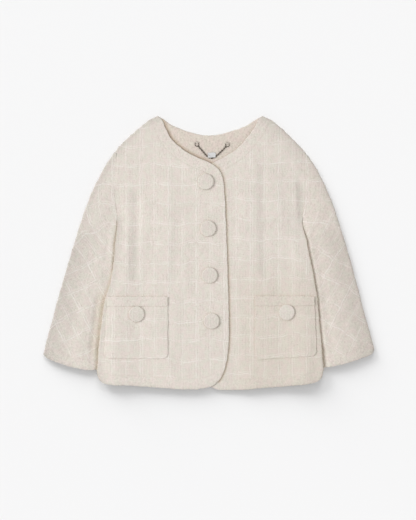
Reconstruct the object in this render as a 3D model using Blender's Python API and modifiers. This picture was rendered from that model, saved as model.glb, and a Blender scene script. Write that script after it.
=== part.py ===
"""Cropped tweed jacket, buttoned and laid flat on its back.

The front faces +Z and the neck points to +Y. The wearer's right side is at -X and its front laps over
the left one. Every table is in millimetres, seen from above, and each row gives the same place on the
right and on the left half. Every piece of cloth is a wall between an outer and an inner surface, cut
where a maker would cut it.
"""
import math

import bpy
import bmesh
import numpy as np
from mathutils import Vector

MM = 0.001
NAME = "cropped_tweed_jacket"

# Cloth
TWEED = 2.5            # wall: bouclé tweed with the lining behind it
FACING = 1.6           # thinner facing inside the back neck
POCKET = 2.0
BAND = 1.6             # folded band along the top of a pocket
SEAM = 0.4             # space left between two pieces that are sewn or lie together
SPARE_RUN = 15.0       # sleeve and body part a little more within this distance of the shoulder tip
SPARE_TIP = 0.6        # by this much
LAP_SEAM = 0.6         # space between the two fronts where they lap
FOLD = 3.5             # outer radius where the cloth turns over at a side

# Heights of the laid garment
MIDDLE = 8.9           # back, front and the little air between them, away from the edges
LOFT_RUN = 30.0        # the height is reached this far inside a folded edge
CENTRE = 5.5           # top of the left front where the right front laps over it
CENTRE_NECK = 7.5      # the same beside the neck, where the facing lies under it
CENTRE_FROM = 70.0     # from here up it starts to rise
CENTRE_TO = 152.0      # and has risen here
LIFT = 2.0 * FOLD + 0.5   # the body's sides lie on the inner edges of the sleeves
LIFT_DOWN = 45.0       # the lift is complete this far below the underarm
LIFT_IN = 60.0         # and fades over this width towards the middle
LIFT_HEM = 0.2         # share of the lift that is gone at the hem, past the cuffs
HEM_FALL = 26.0        # over this length
UNDERARM_Y = 60.0
COVER_Y = 14.0         # the sleeves go under the body from here
CUFF_Y = -222.0        # and reach under it down to here
COVERED = 20.0         # width of sleeve hidden under the body at the cuff
COVER_CLEAR = 3.0      # the body's full lift goes this far past the hidden edge

# Lap of the right front over the left one
LAP_FROM = -62.0       # the right front starts to rise here
LAP_FULL = -35.0       # and lies on the left front from here
DIP_FULL = 40.0        # the left front is down at its lowest up to here
DIP_TO = 80.0          # and back at its full height here

# Where the rows and columns of the panels lie
TURN_SHARES = (0.0, 0.134, 0.5, 1.0)  # round a quarter turn, as shares of its radius from its edge
FREE_INSETS = (0.0, 1.6, 3.4, 5.4)    # the same rows and columns where the edge is cut
APEX_NEAR = 6.0        # the neck edge lies flat again this far from the end of the shoulder
ROWS_ARMHOLE = (14.0, 12.0, 8)       # from the shoulder, up to the underarm, count
ROWS_LIFT = (3.0, 10.0, 20.0, 32.0)  # below the underarm
ROWS_BODY = 11
FRONT_ACROSS = (0.06, 0.12, 0.19, 0.26, 0.33, 0.4, 0.47, 0.53, 0.59, 0.65, 0.71, 0.77, 0.84, 0.91, 0.97, 1.0)
BACK_SHOULDER = (0.05, 0.10, 0.15, 0.20)
BACK_NECK = 10
SLEEVE_RINGS = (0.0, 0.035, *(0.08 + 0.92 * k / 16 for k in range(17)))
SLEEVE_ACROSS = tuple(k / 10 for k in range(1, 10))
SLEEVE_UNDER = (0.72, 0.5, 0.28)

# Columns of the line tables: x right, y right, x left, y left
SHOULDER = (
    (-174.5, 188.0, 176.0, 189.0),
    (-160.5, 204.0, 161.5, 204.5),
    (-143.5, 220.0, 145.5, 220.0),
    (-126.0, 235.0, 129.5, 235.0),
    (-109.0, 247.5, 112.0, 248.0),
    (-96.0, 254.2, 98.5, 254.2),
)
NECK_FRONT = (
    (-96.0, 254.2, 98.5, 254.2),
    (-89.0, 248.5, 92.3, 249.0),
    (-80.5, 231.0, 85.0, 234.5),
    (-73.5, 216.5, 74.5, 219.0),
    (-62.0, 203.0, 63.5, 205.5),
    (-48.5, 191.5, 48.0, 190.5),
    (-29.0, 180.0, 31.5, 180.0),
    (-9.0, 171.3, 13.0, 170.5),
    (1.0, 167.0, 2.5, 165.0),
    (10.0, 161.8, -7.0, 159.0),
    (18.5, 154.3, -16.0, 151.5),
)
FRONT_EDGE = (
    (18.5, 154.3, -16.0, 151.5),
    (24.0, 144.0, -22.5, 141.0),
    (26.5, 131.0, -26.0, 128.0),
    (28.2, 112.0, -28.5, 108.0),
    (30.7, 67.0, -31.0, 67.0),
    (33.0, 2.0, -31.5, 2.0),
    (35.0, -55.0, -31.5, -55.0),
    (36.4, -111.0, -31.5, -111.0),
    (36.8, -154.0, -31.0, -154.0),
    (35.0, -183.0, -29.0, -183.0),
    (30.5, -208.0, -25.5, -205.0),
    (24.5, -226.0, -19.0, -224.0),
    (17.5, -237.5, -11.5, -237.0),
)
HEM_FRONT = (
    (-203.5, -235.5, 207.5, -232.5),
    (-196.0, -241.3, 200.0, -238.0),
    (-184.0, -244.0, 186.0, -241.5),
    (-156.0, -244.9, 160.0, -245.2),
    (-127.0, -246.9, 127.0, -247.6),
    (-97.0, -249.2, 95.0, -250.6),
    (-68.0, -251.5, 65.0, -253.2),
    (-40.0, -252.7, 36.0, -254.2),
    (-20.0, -252.0, 20.0, -253.8),
    (-6.0, -249.8, 8.5, -250.6),
    (7.5, -245.3, -2.5, -245.5),
    (17.5, -237.5, -11.5, -237.0),
)
ARMHOLE = (
    (-174.5, 188.0, 176.0, 189.0),
    (-171.8, 185.8, 173.3, 186.8),
    (-171.4, 178.0, 173.0, 178.0),
    (-174.4, 155.0, 176.0, 155.0),
    (-175.6, 118.0, 177.6, 118.0),
    (-173.0, 84.0, 175.4, 84.0),
    (-170.4, 66.0, 172.8, 66.0),
    (-170.2, 60.0, 172.6, 60.0),
)
BODY_SIDE = (
    (-170.2, 60.0, 172.6, 60.0),
    (-169.0, 59.5, 171.4, 59.5),
    (-168.4, 57.0, 170.9, 57.0),
    (-169.2, 50.0, 172.4, 50.0),
    (-171.6, 36.0, 176.6, 36.0),
    (-174.2, 14.0, 181.5, 14.0),
    (-178.0, -28.0, 190.2, -28.0),
    (-184.5, -58.0, 196.0, -58.0),
    (-193.5, -88.0, 200.3, -88.0),
    (-199.0, -125.0, 203.5, -125.0),
    (-203.0, -158.0, 206.6, -158.0),
    (-205.8, -192.0, 209.6, -192.0),
    (-206.8, -222.0, 210.8, -220.0),
    (-203.5, -235.5, 207.5, -232.5),
)
SLEEVE_OUTER = (
    (-174.5, 188.0, 176.0, 189.0),
    (-190.5, 165.0, 193.5, 165.0),
    (-203.0, 142.0, 206.5, 142.0),
    (-215.5, 117.0, 218.3, 117.0),
    (-227.5, 87.0, 230.3, 87.0),
    (-237.8, 57.0, 240.3, 57.0),
    (-248.2, 24.0, 250.6, 24.0),
    (-259.5, -13.0, 261.8, -13.0),
    (-270.3, -50.0, 271.8, -50.0),
    (-281.0, -87.0, 281.6, -87.0),
    (-290.5, -124.0, 291.0, -124.0),
    (-300.5, -157.0, 300.5, -155.0),
    (-307.5, -184.0, 307.5, -179.0),
)
SLEEVE_INNER = (
    (-170.8, 60.0, 173.2, 60.0),
    (-172.0, 59.5, 174.4, 59.5),
    (-172.6, 57.0, 175.0, 57.0),
    (-172.8, 50.0, 176.0, 50.0),
    (-173.4, 36.0, 178.2, 36.0),
    (-175.0, 14.0, 182.3, 14.0),
    (-176.0, -28.0, 184.5, -28.0),
    (-177.5, -75.0, 186.0, -75.0),
    (-181.0, -140.0, 188.5, -140.0),
    (-187.0, -214.0, 191.0, -211.0),
)
CUFF = (
    (-307.5, -184.0, 307.5, -179.0),
    (-302.0, -192.0, 302.0, -187.5),
    (-290.0, -199.0, 290.0, -193.0),
    (-270.0, -207.0, 268.0, -200.0),
    (-247.0, -213.0, 245.0, -207.0),
    (-216.0, -216.8, 217.0, -211.6),
    (-187.0, -214.0, 191.0, -211.0),
)

# Columns of the tables across the whole back: x, y
NECK_BACK = (
    (-96.0, 254.2),
    (-86.5, 249.5),
    (-71.5, 239.0),
    (-52.0, 230.0),
    (-30.0, 222.5),
    (-10.0, 219.0),
    (6.0, 218.6),
    (24.0, 221.2),
    (44.0, 227.0),
    (68.0, 236.0),
    (89.0, 249.0),
    (98.5, 254.2),
)
HEM_BACK = (
    (-203.5, -235.5),
    (-184.0, -241.0),
    (-127.0, -243.5),
    (-60.0, -247.5),
    (4.0, -246.0),
    (60.0, -249.0),
    (127.0, -244.5),
    (186.0, -238.5),
    (207.5, -232.5),
)

# Columns: panel, x and y where the trough starts, x and y where it ends, half width, depth
TROUGHS = (
    ("front_right", -144.0, 138.0, -147.0, -14.0, 17.0, 1.1),
    ("front_right", -60.0, 20.0, -64.0, -60.0, 16.0, 0.5),
    ("front_right", -168.0, 112.0, -168.5, 66.0, 13.0, 0.7),
    ("front_left", 100.0, 138.0, 104.0, -34.0, 19.0, 1.1),
    ("front_left", 169.0, 118.0, 172.0, 66.0, 14.0, 0.9),
    ("sleeve_right", -196.0, 34.0, -232.0, 62.0, 12.0, 0.8),
    ("sleeve_right", -275.0, -62.0, -246.0, -108.0, 15.0, 1.1),
    ("sleeve_right", -214.0, -60.0, -228.0, -190.0, 14.0, 0.8),
    ("sleeve_left", 196.0, 40.0, 226.0, 84.0, 13.0, 0.9),
    ("sleeve_left", 262.0, 0.0, 238.0, -70.0, 16.0, 1.0),
    ("sleeve_left", 280.0, -92.0, 246.0, -130.0, 14.0, 0.8),
)
FADE_ENDS = 24.0       # a trough fades over this length at both ends
FADE_FOLD = 14.0       # and over this distance from a folded edge

# Columns: name, x outer at the top, x outer at the bottom, x inner, y top, y bottom outer, y bottom inner
POCKETS = (
    ("right", -187.5, -194.5, -76.5, -80.5, -194.5, -195.5),
    ("left", 194.0, 198.5, 85.0, -79.6, -190.5, -197.0),
)
POCKET_CORNER = 10.0
POCKET_ROWS = (0.0, 12.0, 24.0, 38.0, 52.0, 66.0, 80.0, 93.0)   # below the pocket's top, above its corners
CORNER_ROWS = (1.0, 0.5, 0.134, 0.0)                           # corner radii above the pocket's bottom
POCKET_COLUMNS = 11
BAND_DEEP = 18.0

# Columns: name, panel or pocket that carries it, x, y
BUTTONS = (
    ("button_1", "front_right", -6.3, 131.7),
    ("button_2", "front_right", -2.0, 45.3),
    ("button_3", "front_right", 0.7, -41.3),
    ("button_4", "front_right", 4.4, -125.8),
    ("pocket_button_right", "pocket_right", -134.5, -113.0),
    ("pocket_button_left", "pocket_left", 144.0, -109.5),
)
BUTTON_RADIUS = 15.2
BUTTON_HEAD = 5.0      # thickness of the covered head
BUTTON_STEM = 2.3      # shank under the head
STEM_RADIUS = 4.0
BUTTON_STEPS = 18
SLOPE_SPAN = 6.0       # a button is tilted by the cloth's slope over this distance to each side

# Facing inside the back neck: a crescent whose lower edge is hidden by the fronts
FACING_X = (-83.0, 85.0)
FACING_LOW = 156.0     # y of its lower edge in the middle
FACING_RISE = 58.0     # and this much higher at the ends
FACING_IN = 1.5        # its upper edge lies inside the back's neck edge

# Hanger chain inside the back neck; columns: x, y
CHAIN = (
    (-20.0, 197.6),
    (-12.0, 188.2),
    (-5.0, 180.4),
    (0.0, 176.8),
    (4.5, 175.8),
    (9.0, 176.8),
    (14.0, 180.4),
    (22.5, 188.4),
    (30.8, 196.8),
)
CHAIN_THICK = 1.7
RINGS = (("hanger_ring_right", -22.9, 201.2), ("hanger_ring_left", 33.8, 200.3))
RING_RADIUS = 3.6
RING_WIRE = 0.65
LABEL_X = (-4.0, 13.0)
LABEL_Y = (186.0, 172.6)
LABEL = 0.6
LABEL_OVER = 2.0       # the label lies over the chain to this distance on each side
LABEL_DROP = 2.2       # and comes down to the facing over this one

# Columns: material name, colour, roughness, metallic
MATERIALS = {
    "tweed": ((0.78, 0.72, 0.65, 1.0), 0.95, 0.0),
    "tweed_inside": ((0.74, 0.66, 0.57, 1.0), 0.95, 0.0),
    "chain_metal": ((0.36, 0.32, 0.29, 1.0), 0.35, 1.0),
    "label_white": ((0.86, 0.86, 0.85, 1.0), 0.7, 0.0),
}

RIGHT, LEFT = 0, 1


def half(table, side):
    """The points of one half of a line table."""
    return [row[2 * side:2 * side + 2] for row in table]


def ease(t):
    """0 below 0, 1 above 1, and a soft step between."""
    t = np.clip(t, 0.0, 1.0)
    return t * t * (3.0 - 2.0 * t)


class Line:
    """A smooth line through points, read by its share of length from 0 to 1."""

    def __init__(self, points):
        self.points = np.array(points, float)
        steps = np.linalg.norm(np.diff(self.points, axis=0), axis=1)
        self.length = float(steps.sum())
        self.knots = np.concatenate(([0.0], np.cumsum(steps))) / self.length
        self.slopes = np.gradient(self.points, self.knots, axis=0)

    def at(self, t):
        t = min(max(float(t), 0.0), 1.0)
        i = min(int(np.searchsorted(self.knots, t, side="right")) - 1, len(self.knots) - 2)
        span = self.knots[i + 1] - self.knots[i]
        s = (t - self.knots[i]) / span
        start = (1 + 2 * s) * (1 - s) ** 2 * self.points[i] + s * (1 - s) ** 2 * span * self.slopes[i]
        end = s * s * (3 - 2 * s) * self.points[i + 1] + s * s * (s - 1) * span * self.slopes[i + 1]
        return start + end


class Joined:
    """Several lines end to end, with a corner at each of the shares in corners."""

    def __init__(self, *lines):
        self.lines = lines
        self.length = sum(line.length for line in lines)
        self.corners = np.cumsum([0.0] + [line.length for line in lines]) / self.length

    def at(self, t):
        t = min(max(float(t), 0.0), 1.0)
        for i, line in enumerate(self.lines):
            if t <= self.corners[i + 1] or i == len(self.lines) - 1:
                return line.at((t - self.corners[i]) / (self.corners[i + 1] - self.corners[i]))


class Matched:
    """A joined line read so that its corners come at the same shares as another's."""

    def __init__(self, joined, like):
        self.joined, self.like, self.length = joined, like, like.length

    def at(self, t):
        return self.joined.at(float(np.interp(t, self.like.corners, self.joined.corners)))


def patch(top, bottom, left, right):
    """A surface spanned between four lines that share their corners; u runs across, v down."""
    def place(u, v):
        across = (1 - v) * top.at(u) + v * bottom.at(u)
        down = (1 - u) * left.at(v) + u * right.at(v)
        corners = ((1 - u) * (1 - v) * top.at(0) + u * (1 - v) * top.at(1)
                   + (1 - u) * v * bottom.at(0) + u * v * bottom.at(1))
        return across + down - corners
    return place


def polyline(line, count=220):
    """The line as an array of points close together."""
    return np.array([line.at(t) for t in np.linspace(0.0, 1.0, count)])


def distance(x, y, points):
    """Shortest distance in plan from a place to a polyline."""
    place = np.array((x, y))
    start, along = points[:-1], np.diff(points, axis=0)
    share = ((place - start) * along).sum(axis=1) / np.maximum((along * along).sum(axis=1), 1e-12)
    nearest = start + np.clip(share, 0.0, 1.0)[:, None] * along
    return float(np.sqrt(((place - nearest) ** 2).sum(axis=1)).min())


OUTLINE = [polyline(Joined(Line(half(SHOULDER, side)[::-1]), Line(half(SLEEVE_OUTER, side))))
           for side in (RIGHT, LEFT)]
SIDE_FOLD = [polyline(Line(half(BODY_SIDE, side))) for side in (RIGHT, LEFT)]
INNER_FOLD = [polyline(Line(half(SLEEVE_INNER, side))) for side in (RIGHT, LEFT)]


def turn(d, reach=FOLD, inside=0.0):
    """How far a surface has curved away at the plan distance d from a folded edge.

    The surface lies inside the cloth's outer one by the given thickness.
    """
    share = min(max((d - inside) / (FOLD - inside), 0.0), 1.0)
    return (reach - inside) * (1.0 - math.sqrt(1.0 - (1.0 - share) ** 2))


def trough(x, y, panel):
    """Depth of the soft troughs of one panel at a place."""
    depth = 0.0
    for name, x0, y0, x1, y1, wide, deep in TROUGHS:
        if name != panel:
            continue
        run = math.hypot(x1 - x0, y1 - y0)
        along = ((x - x0) * (x1 - x0) + (y - y0) * (y1 - y0)) / run
        off = abs((x - x0) * (y1 - y0) - (y - y0) * (x1 - x0)) / run
        ends = ease((along + FADE_ENDS) / FADE_ENDS) * ease((run + FADE_ENDS - along) / FADE_ENDS)
        depth += deep * float(ends) * float(1.0 - ease(off / wide))
    return depth


def lift(x, y):
    """Height of the body's underside where the inner edge of a sleeve lies beneath it."""
    side = RIGHT if x < 0 else LEFT
    begun = ease((UNDERARM_Y - y) / LIFT_DOWN)
    kept = 1.0 - LIFT_HEM * ease((CUFF_Y - y) / HEM_FALL)
    hidden = float(np.interp(y, (CUFF_Y, COVER_Y), (COVERED, 0.0))) + COVER_CLEAR
    across = 1.0 - ease((distance(x, y, SIDE_FOLD[side]) - hidden) / LIFT_IN)
    return float(LIFT * begun * kept * across)


def thickness(to_edge):
    """Both layers and the air between them, by the distance to the nearest folded edge."""
    return 2.0 * FOLD + (MIDDLE - 2.0 * FOLD) * float(ease((to_edge - FOLD) / LOFT_RUN))


def centre_height(y):
    """Top of the left front where the right front laps over it."""
    return CENTRE + (CENTRE_NECK - CENTRE) * float(ease((y - CENTRE_FROM) / (CENTRE_TO - CENTRE_FROM)))


def body_top(x, y, panel, to_shoulder=None, to_side=None, inside=0.0):
    """Height of a front panel. The distances are given on a folded edge, else measured."""
    side = RIGHT if panel == "front_right" else LEFT
    outline = distance(x, y, OUTLINE[side]) if to_shoulder is None else to_shoulder
    fold = distance(x, y, SIDE_FOLD[side]) if to_side is None else to_side
    z = thickness(min(outline, fold))
    if panel == "front_right":
        lap = float(ease((x - LAP_FROM) / (LAP_FULL - LAP_FROM)))
        z += lap * (centre_height(y) + LAP_SEAM + TWEED - z)
    else:
        dip = 1.0 - float(ease((x - DIP_FULL) / (DIP_TO - DIP_FULL)))
        z += dip * (centre_height(y) - z)
    reach = FOLD - SEAM / 2
    z += lift(x, y) - trough(x, y, panel) * float(ease(min(outline, fold) / FADE_FOLD))
    return z - inside - turn(outline, reach, inside) - turn(fold, reach, inside)


def body_bottom(x, y, to_shoulder=None, to_side=None, inside=0.0):
    """Height of the back, which rests on the ground but for its sides."""
    side = RIGHT if x < 0 else LEFT
    outline = distance(x, y, OUTLINE[side]) if to_shoulder is None else to_shoulder
    fold = distance(x, y, SIDE_FOLD[side]) if to_side is None else to_side
    reach = FOLD - SEAM / 2
    return lift(x, y) + inside + turn(outline, reach, inside) + turn(fold, reach, inside)


def sleeve_top(x, y, side, outer, inner, inside):
    """Height of a sleeve's upper side: pressed flat where it lies under the body."""
    outer = distance(x, y, OUTLINE[side]) if outer is None else outer
    inner = distance(x, y, INNER_FOLD[side]) if inner is None else inner
    beside = distance(x, y, SIDE_FOLD[side])
    within = abs(x) < abs(np.interp(-y, -SIDE_FOLD[side][:, 1], SIDE_FOLD[side][:, 0])) and y < UNDERARM_Y
    panel = "sleeve_right" if side == RIGHT else "sleeve_left"
    z = thickness(min(outer, 0.0 if within else beside))
    sunk = 0.0 if within else trough(x, y, panel) * float(ease(min(outer, inner) / FADE_FOLD))
    return z - sunk - inside - turn(outer, FOLD, inside) - turn(inner, FOLD, inside)


def sleeve_bottom(x, y, side, outer, inner, inside):
    """Height of a sleeve's lower side, flat on the ground inside its folded edges."""
    outer = distance(x, y, OUTLINE[side]) if outer is None else outer
    inner = distance(x, y, INNER_FOLD[side]) if inner is None else inner
    return inside + turn(outer, FOLD, inside) + turn(inner, FOLD, inside)


def clear_scene():
    for item in list(bpy.data.objects):
        bpy.data.objects.remove(item)
    for old in list(bpy.data.collections):
        bpy.data.collections.remove(old)
    made = bpy.data.collections.new(NAME)
    bpy.context.scene.collection.children.link(made)
    return made


def material(name):
    if name in bpy.data.materials:
        return bpy.data.materials[name]
    colour, rough, metal = MATERIALS[name]
    made = bpy.data.materials.new(name)
    made.use_nodes = True
    shader = made.node_tree.nodes["Principled BSDF"]
    shader.inputs["Base Color"].default_value = colour
    shader.inputs["Roughness"].default_value = rough
    shader.inputs["Metallic"].default_value = metal
    made.diffuse_color = colour
    return made


def place_object(name, mesh, finish, collection):
    """An object with its own material, shaded smooth, in the jacket's collection."""
    made = bpy.data.objects.new(name, mesh)
    mesh.materials.clear()
    mesh.materials.append(material(finish))
    mesh.shade_smooth()
    mesh.set_sharp_from_angle(angle=math.radians(40.0))
    collection.objects.link(made)
    return made


def surface_mesh(name, rows):
    """A mesh over rows of points in millimetres, facing up."""
    work = bmesh.new()
    grid = [[work.verts.new(Vector(p) * MM) for p in row] for row in rows]
    for upper, lower in zip(grid, grid[1:]):
        for i in range(len(upper) - 1):
            work.faces.new((upper[i], upper[i + 1], lower[i + 1], lower[i]))
    work.normal_update()
    if sum(v.normal.z for v in work.verts) < 0:
        bmesh.ops.reverse_faces(work, faces=list(work.faces))
    mesh = bpy.data.meshes.new(name)
    work.to_mesh(mesh)
    work.free()
    return mesh


def wall_mesh(name, outer, inner, ring=False):
    """A closed wall between two surfaces that are given as the same rows of points in millimetres."""
    work = bmesh.new()
    skins = [[[work.verts.new(Vector(p) * MM) for p in row] for row in rows] for rows in (outer, inner)]
    rows, columns = len(outer), len(outer[0])
    steps = range(columns if ring else columns - 1)
    for skin in skins:
        for j in range(rows - 1):
            for i in steps:
                k = (i + 1) % columns
                work.faces.new((skin[j][i], skin[j][k], skin[j + 1][k], skin[j + 1][i]))
    outside, inside = skins
    for j in (0, rows - 1):
        for i in steps:
            k = (i + 1) % columns
            work.faces.new((outside[j][i], outside[j][k], inside[j][k], inside[j][i]))
    for i in () if ring else (0, columns - 1):
        for j in range(rows - 1):
            work.faces.new((outside[j][i], outside[j + 1][i], inside[j + 1][i], inside[j][i]))
    bmesh.ops.recalc_face_normals(work, faces=list(work.faces))
    mesh = bpy.data.meshes.new(name)
    work.to_mesh(mesh)
    work.free()
    return mesh


def thicken(item, thick):
    """Give a surface the cloth's thickness, upwards."""
    wall = item.modifiers.new("cloth", "SOLIDIFY")
    wall.thickness = thick * MM
    wall.offset = 1.0
    wall.use_even_offset = False
    wall.use_rim = True


def turn_insets(inside):
    """Distances from a folded edge at which a surface is laid out round its turn."""
    return [inside + (FOLD - inside) * share for share in TURN_SHARES]


def share_inside(place, fold, wanted, limit=0.12):
    """The share of a line at which it is the wanted distance inside a folded edge."""
    if wanted == 0.0:
        return 0.0
    low, high = 0.0, limit
    for _ in range(26):
        middle = 0.5 * (low + high)
        x, y = place(middle)
        if distance(x, y, fold) < wanted:
            low = middle
        else:
            high = middle
    return high


class Body:
    """The rows and columns that a front or the back is laid out on."""

    def __init__(self, top, hem, first, last, apexes, fold_last, z_of):
        self.place = patch(top, hem, first, last)
        self.wide, self.deep = hem.length, first.length
        self.underarm = first.corners[1] * first.length
        self.apexes, self.fold_last, self.z_of = apexes, fold_last, z_of

    def side_of(self, edge, u):
        """Whether a place belongs to the right or to the left half."""
        if edge == "first":
            return self.apexes[0][0]
        if edge == "last":
            return self.apexes[-1][0]
        return self.apexes[0][0] if u <= self.apexes[0][1] else self.apexes[-1][0]

    def point(self, row, column, inside):
        """The point where a row meets a column, at its exact inset where the edge is folded."""
        row_kind, row_value = row
        edge, k, u = column
        insets = turn_insets(inside)
        folded = row_kind == "down" and row_value >= self.underarm - 1e-6
        on_shoulder = u <= self.apexes[0][1] + 1e-9 or (self.fold_last and u >= self.apexes[-1][1] - 1e-9)
        side = self.side_of(edge, u)
        to_shoulder = to_side = None
        if row_kind == "edge":
            v = FREE_INSETS[row_value] / self.deep
            if on_shoulder:
                to_shoulder = insets[row_value]
                v = share_inside(lambda t: self.place(u, t), OUTLINE[side], to_shoulder)
        else:
            v = row_value / self.deep
        if edge and folded:
            to_side = insets[k]
            if edge == "first":
                u = share_inside(lambda t: self.place(t, v), SIDE_FOLD[side], to_side)
            else:
                u = 1.0 - share_inside(lambda t: self.place(1.0 - t, v), SIDE_FOLD[side], to_side)
        x, y = self.place(u, v)
        return x, y, self.z_of(x, y, to_shoulder, to_side, inside)

    def rows(self, shares, inside):
        """All rows from the shoulder to the hem. shares are the columns between the edges' own."""
        edges = range(len(TURN_SHARES))
        columns = [("first", k, FREE_INSETS[k] / self.wide) for k in edges]
        columns += [(None, None, share) for share in shares]
        if self.fold_last:
            columns += [("last", k, 1.0 - FREE_INSETS[k] / self.wide) for k in reversed(edges)]
        downs = [("edge", k) for k in edges]
        first, before, count = ROWS_ARMHOLE
        downs += [("down", v) for v in np.linspace(first, self.underarm - before, count)]
        downs += [("down", self.underarm - d) for d in reversed(turn_insets(0.0))]
        downs += [("down", self.underarm + d) for d in ROWS_LIFT]
        downs += [("down", v) for v in np.linspace(self.underarm + LIFT_DOWN, self.deep, ROWS_BODY)]
        return [[self.point(row, column, inside) for column in columns] for row in downs]

    def wall(self, name, shares, collection):
        """The panel's closed wall."""
        mesh = wall_mesh(name, self.rows(shares, 0.0), self.rows(shares, TWEED))
        place_object(name, mesh, "tweed", collection)


def front(side, collection):
    """One front: shoulder at the top, armhole and side fold outside, neck and front edge inside."""
    panel = "front_right" if side == RIGHT else "front_left"
    first = Joined(Line(half(ARMHOLE, side)), Line(half(BODY_SIDE, side)))
    last = Joined(Line(half(NECK_FRONT, side)), Line(half(FRONT_EDGE, side)))
    body = Body(Line(half(SHOULDER, side)), Line(half(HEM_FRONT, side)), first, last, ((side, 1.0),), False,
                lambda x, y, shoulder, fold, inside: body_top(x, y, panel, shoulder, fold, inside))
    body.wall(panel, FRONT_ACROSS, collection)


def back(collection):
    """The back, in one piece from side fold to side fold."""
    top = Joined(Line(half(SHOULDER, RIGHT)), Line(NECK_BACK), Line(half(SHOULDER, LEFT)[::-1]))
    first = Joined(Line(half(ARMHOLE, RIGHT)), Line(half(BODY_SIDE, RIGHT)))
    last = Matched(Joined(Line(half(ARMHOLE, LEFT)), Line(half(BODY_SIDE, LEFT))), first)
    apexes = ((RIGHT, top.corners[1]), (LEFT, top.corners[2]))
    body = Body(top, Line(HEM_BACK), first, last, apexes, True, body_bottom)
    near = APEX_NEAR / top.length
    neck = np.linspace(apexes[0][1] + near, apexes[1][1] - near, BACK_NECK)
    left_shoulder = [1.0 - share for share in BACK_SHOULDER[::-1]]
    shares = [*BACK_SHOULDER, apexes[0][1], *neck, apexes[1][1], *left_shoulder]
    body.wall("back", shares, collection)


class Beside:
    """A line moved sideways by the seam's space, and by more at its ends."""

    def __init__(self, line, way):
        self.line, self.way, self.length = line, way, line.length

    def at(self, t):
        step = 0.002
        slope = self.line.at(t + step) - self.line.at(t - step)
        slope = slope / np.linalg.norm(slope)
        end = 1.0 - float(ease(min(t, 1.0 - t) * self.length / SPARE_RUN))
        space = SEAM + SPARE_TIP * end
        return self.line.at(t) + self.way * space * np.array((slope[1], -slope[0]))


def sleeve(side, collection):
    """One sleeve: a flattened tube from the armhole to the open cuff."""
    name = "sleeve_right" if side == RIGHT else "sleeve_left"
    armhole = Beside(Line(half(ARMHOLE, side)), 1.0 if side == RIGHT else -1.0)
    outer = Line([armhole.at(0.0), *half(SLEEVE_OUTER, side)[1:]])
    inner = Line([armhole.at(1.0), *half(SLEEVE_INNER, side)[1:]])
    place = patch(armhole, Line(half(CUFF, side)), outer, inner)
    edges = [polyline(outer), polyline(inner)]

    def rings(inside):
        made = []
        insets = turn_insets(inside)
        for s in SLEEVE_RINGS:
            near = [(share_inside(lambda t: place(t, s), edges[0], d), d, None) for d in insets]
            back = [share_inside(lambda t: place(1.0 - t, s), edges[1], d) for d in insets]
            far = [(1.0 - t, None, d) for t, d in zip(back[::-1], insets[::-1])]
            start, wide = near[-1][0], far[0][0] - near[-1][0]
            upper = near + [(start + wide * t, None, None) for t in SLEEVE_ACROSS] + far
            lower = far[::-1][1:] + [(start + wide * t, None, None) for t in SLEEVE_UNDER] + near[::-1][:-1]
            ring = []
            for height, places in ((sleeve_top, upper), (sleeve_bottom, lower)):
                for t, to_outer, to_inner in places:
                    x, y = place(t, s)
                    ring.append((x, y, height(x, y, side, to_outer, to_inner, inside)))
            made.append(ring)
        return made

    place_object(name, wall_mesh(name, rings(0.0), rings(TWEED), ring=True), "tweed", collection)


def neck_facing(collection):
    """The crescent that shows inside the back neck, lying on the back."""
    neck = Line(NECK_BACK)
    edge = polyline(neck)
    rows = []
    for v in np.linspace(0.0, 1.0, 5):
        row = []
        for x in np.linspace(*FACING_X, 23):
            y_top = float(np.interp(x, edge[:, 0], edge[:, 1])) - FACING_IN
            y_low = FACING_LOW + FACING_RISE * (x / FACING_X[1]) ** 2
            row.append((x, y_top + v * (y_low - y_top), TWEED + SEAM))
        rows.append(row)
    mesh = surface_mesh("back_neck_facing", rows)
    item = place_object("back_neck_facing", mesh, "tweed_inside", collection)
    thicken(item, FACING)


def pocket_rim(row, down):
    """Inner and outer x of a pocket this far below its top, with rounded corners."""
    name, outer_top, outer_low, inner, y_top, y_low_outer, y_low_inner = row
    deep = y_top - 0.5 * (y_low_outer + y_low_inner)
    share = down / deep
    above = deep - down
    inset = 0.0
    if above < POCKET_CORNER:
        inset = POCKET_CORNER - math.sqrt(POCKET_CORNER ** 2 - (POCKET_CORNER - above) ** 2)
    outer = outer_top + share * (outer_low - outer_top)
    way = math.copysign(1.0, outer - inner)
    return inner + way * inset, outer - way * inset, share


def pocket(row, collection):
    """A patch pocket made from the front's own surface, moved out, and its folded band."""
    name, outer_top, outer_low, inner, y_top, y_low_outer, y_low_inner = row
    panel = "front_" + name
    deep = y_top - 0.5 * (y_low_outer + y_low_inner)
    downs = [*POCKET_ROWS, *(deep - POCKET_CORNER * share for share in CORNER_ROWS)]

    def rows_at(levels, above):
        rows = []
        for down in levels:
            x_inner, x_outer, share = pocket_rim(row, down)
            points = []
            for t in np.linspace(0.0, 1.0, POCKET_COLUMNS):
                x = x_inner + t * (x_outer - x_inner)
                low = y_low_inner + t * (y_low_outer - y_low_inner)
                y = y_top + share * (low - y_top)
                points.append((x, y, body_top(x, y, panel) + above))
            rows.append(points)
        return rows

    bag_name, band_name = "pocket_" + name, "pocket_band_" + name
    bag = place_object(bag_name, surface_mesh(bag_name, rows_at(downs, SEAM)), "tweed", collection)
    thicken(bag, POCKET)
    band_rows = rows_at([0.0, 0.5 * BAND_DEEP, BAND_DEEP], 2 * SEAM + POCKET)
    band = place_object(band_name, surface_mesh(band_name, band_rows), "tweed", collection)
    thicken(band, BAND)


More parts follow.
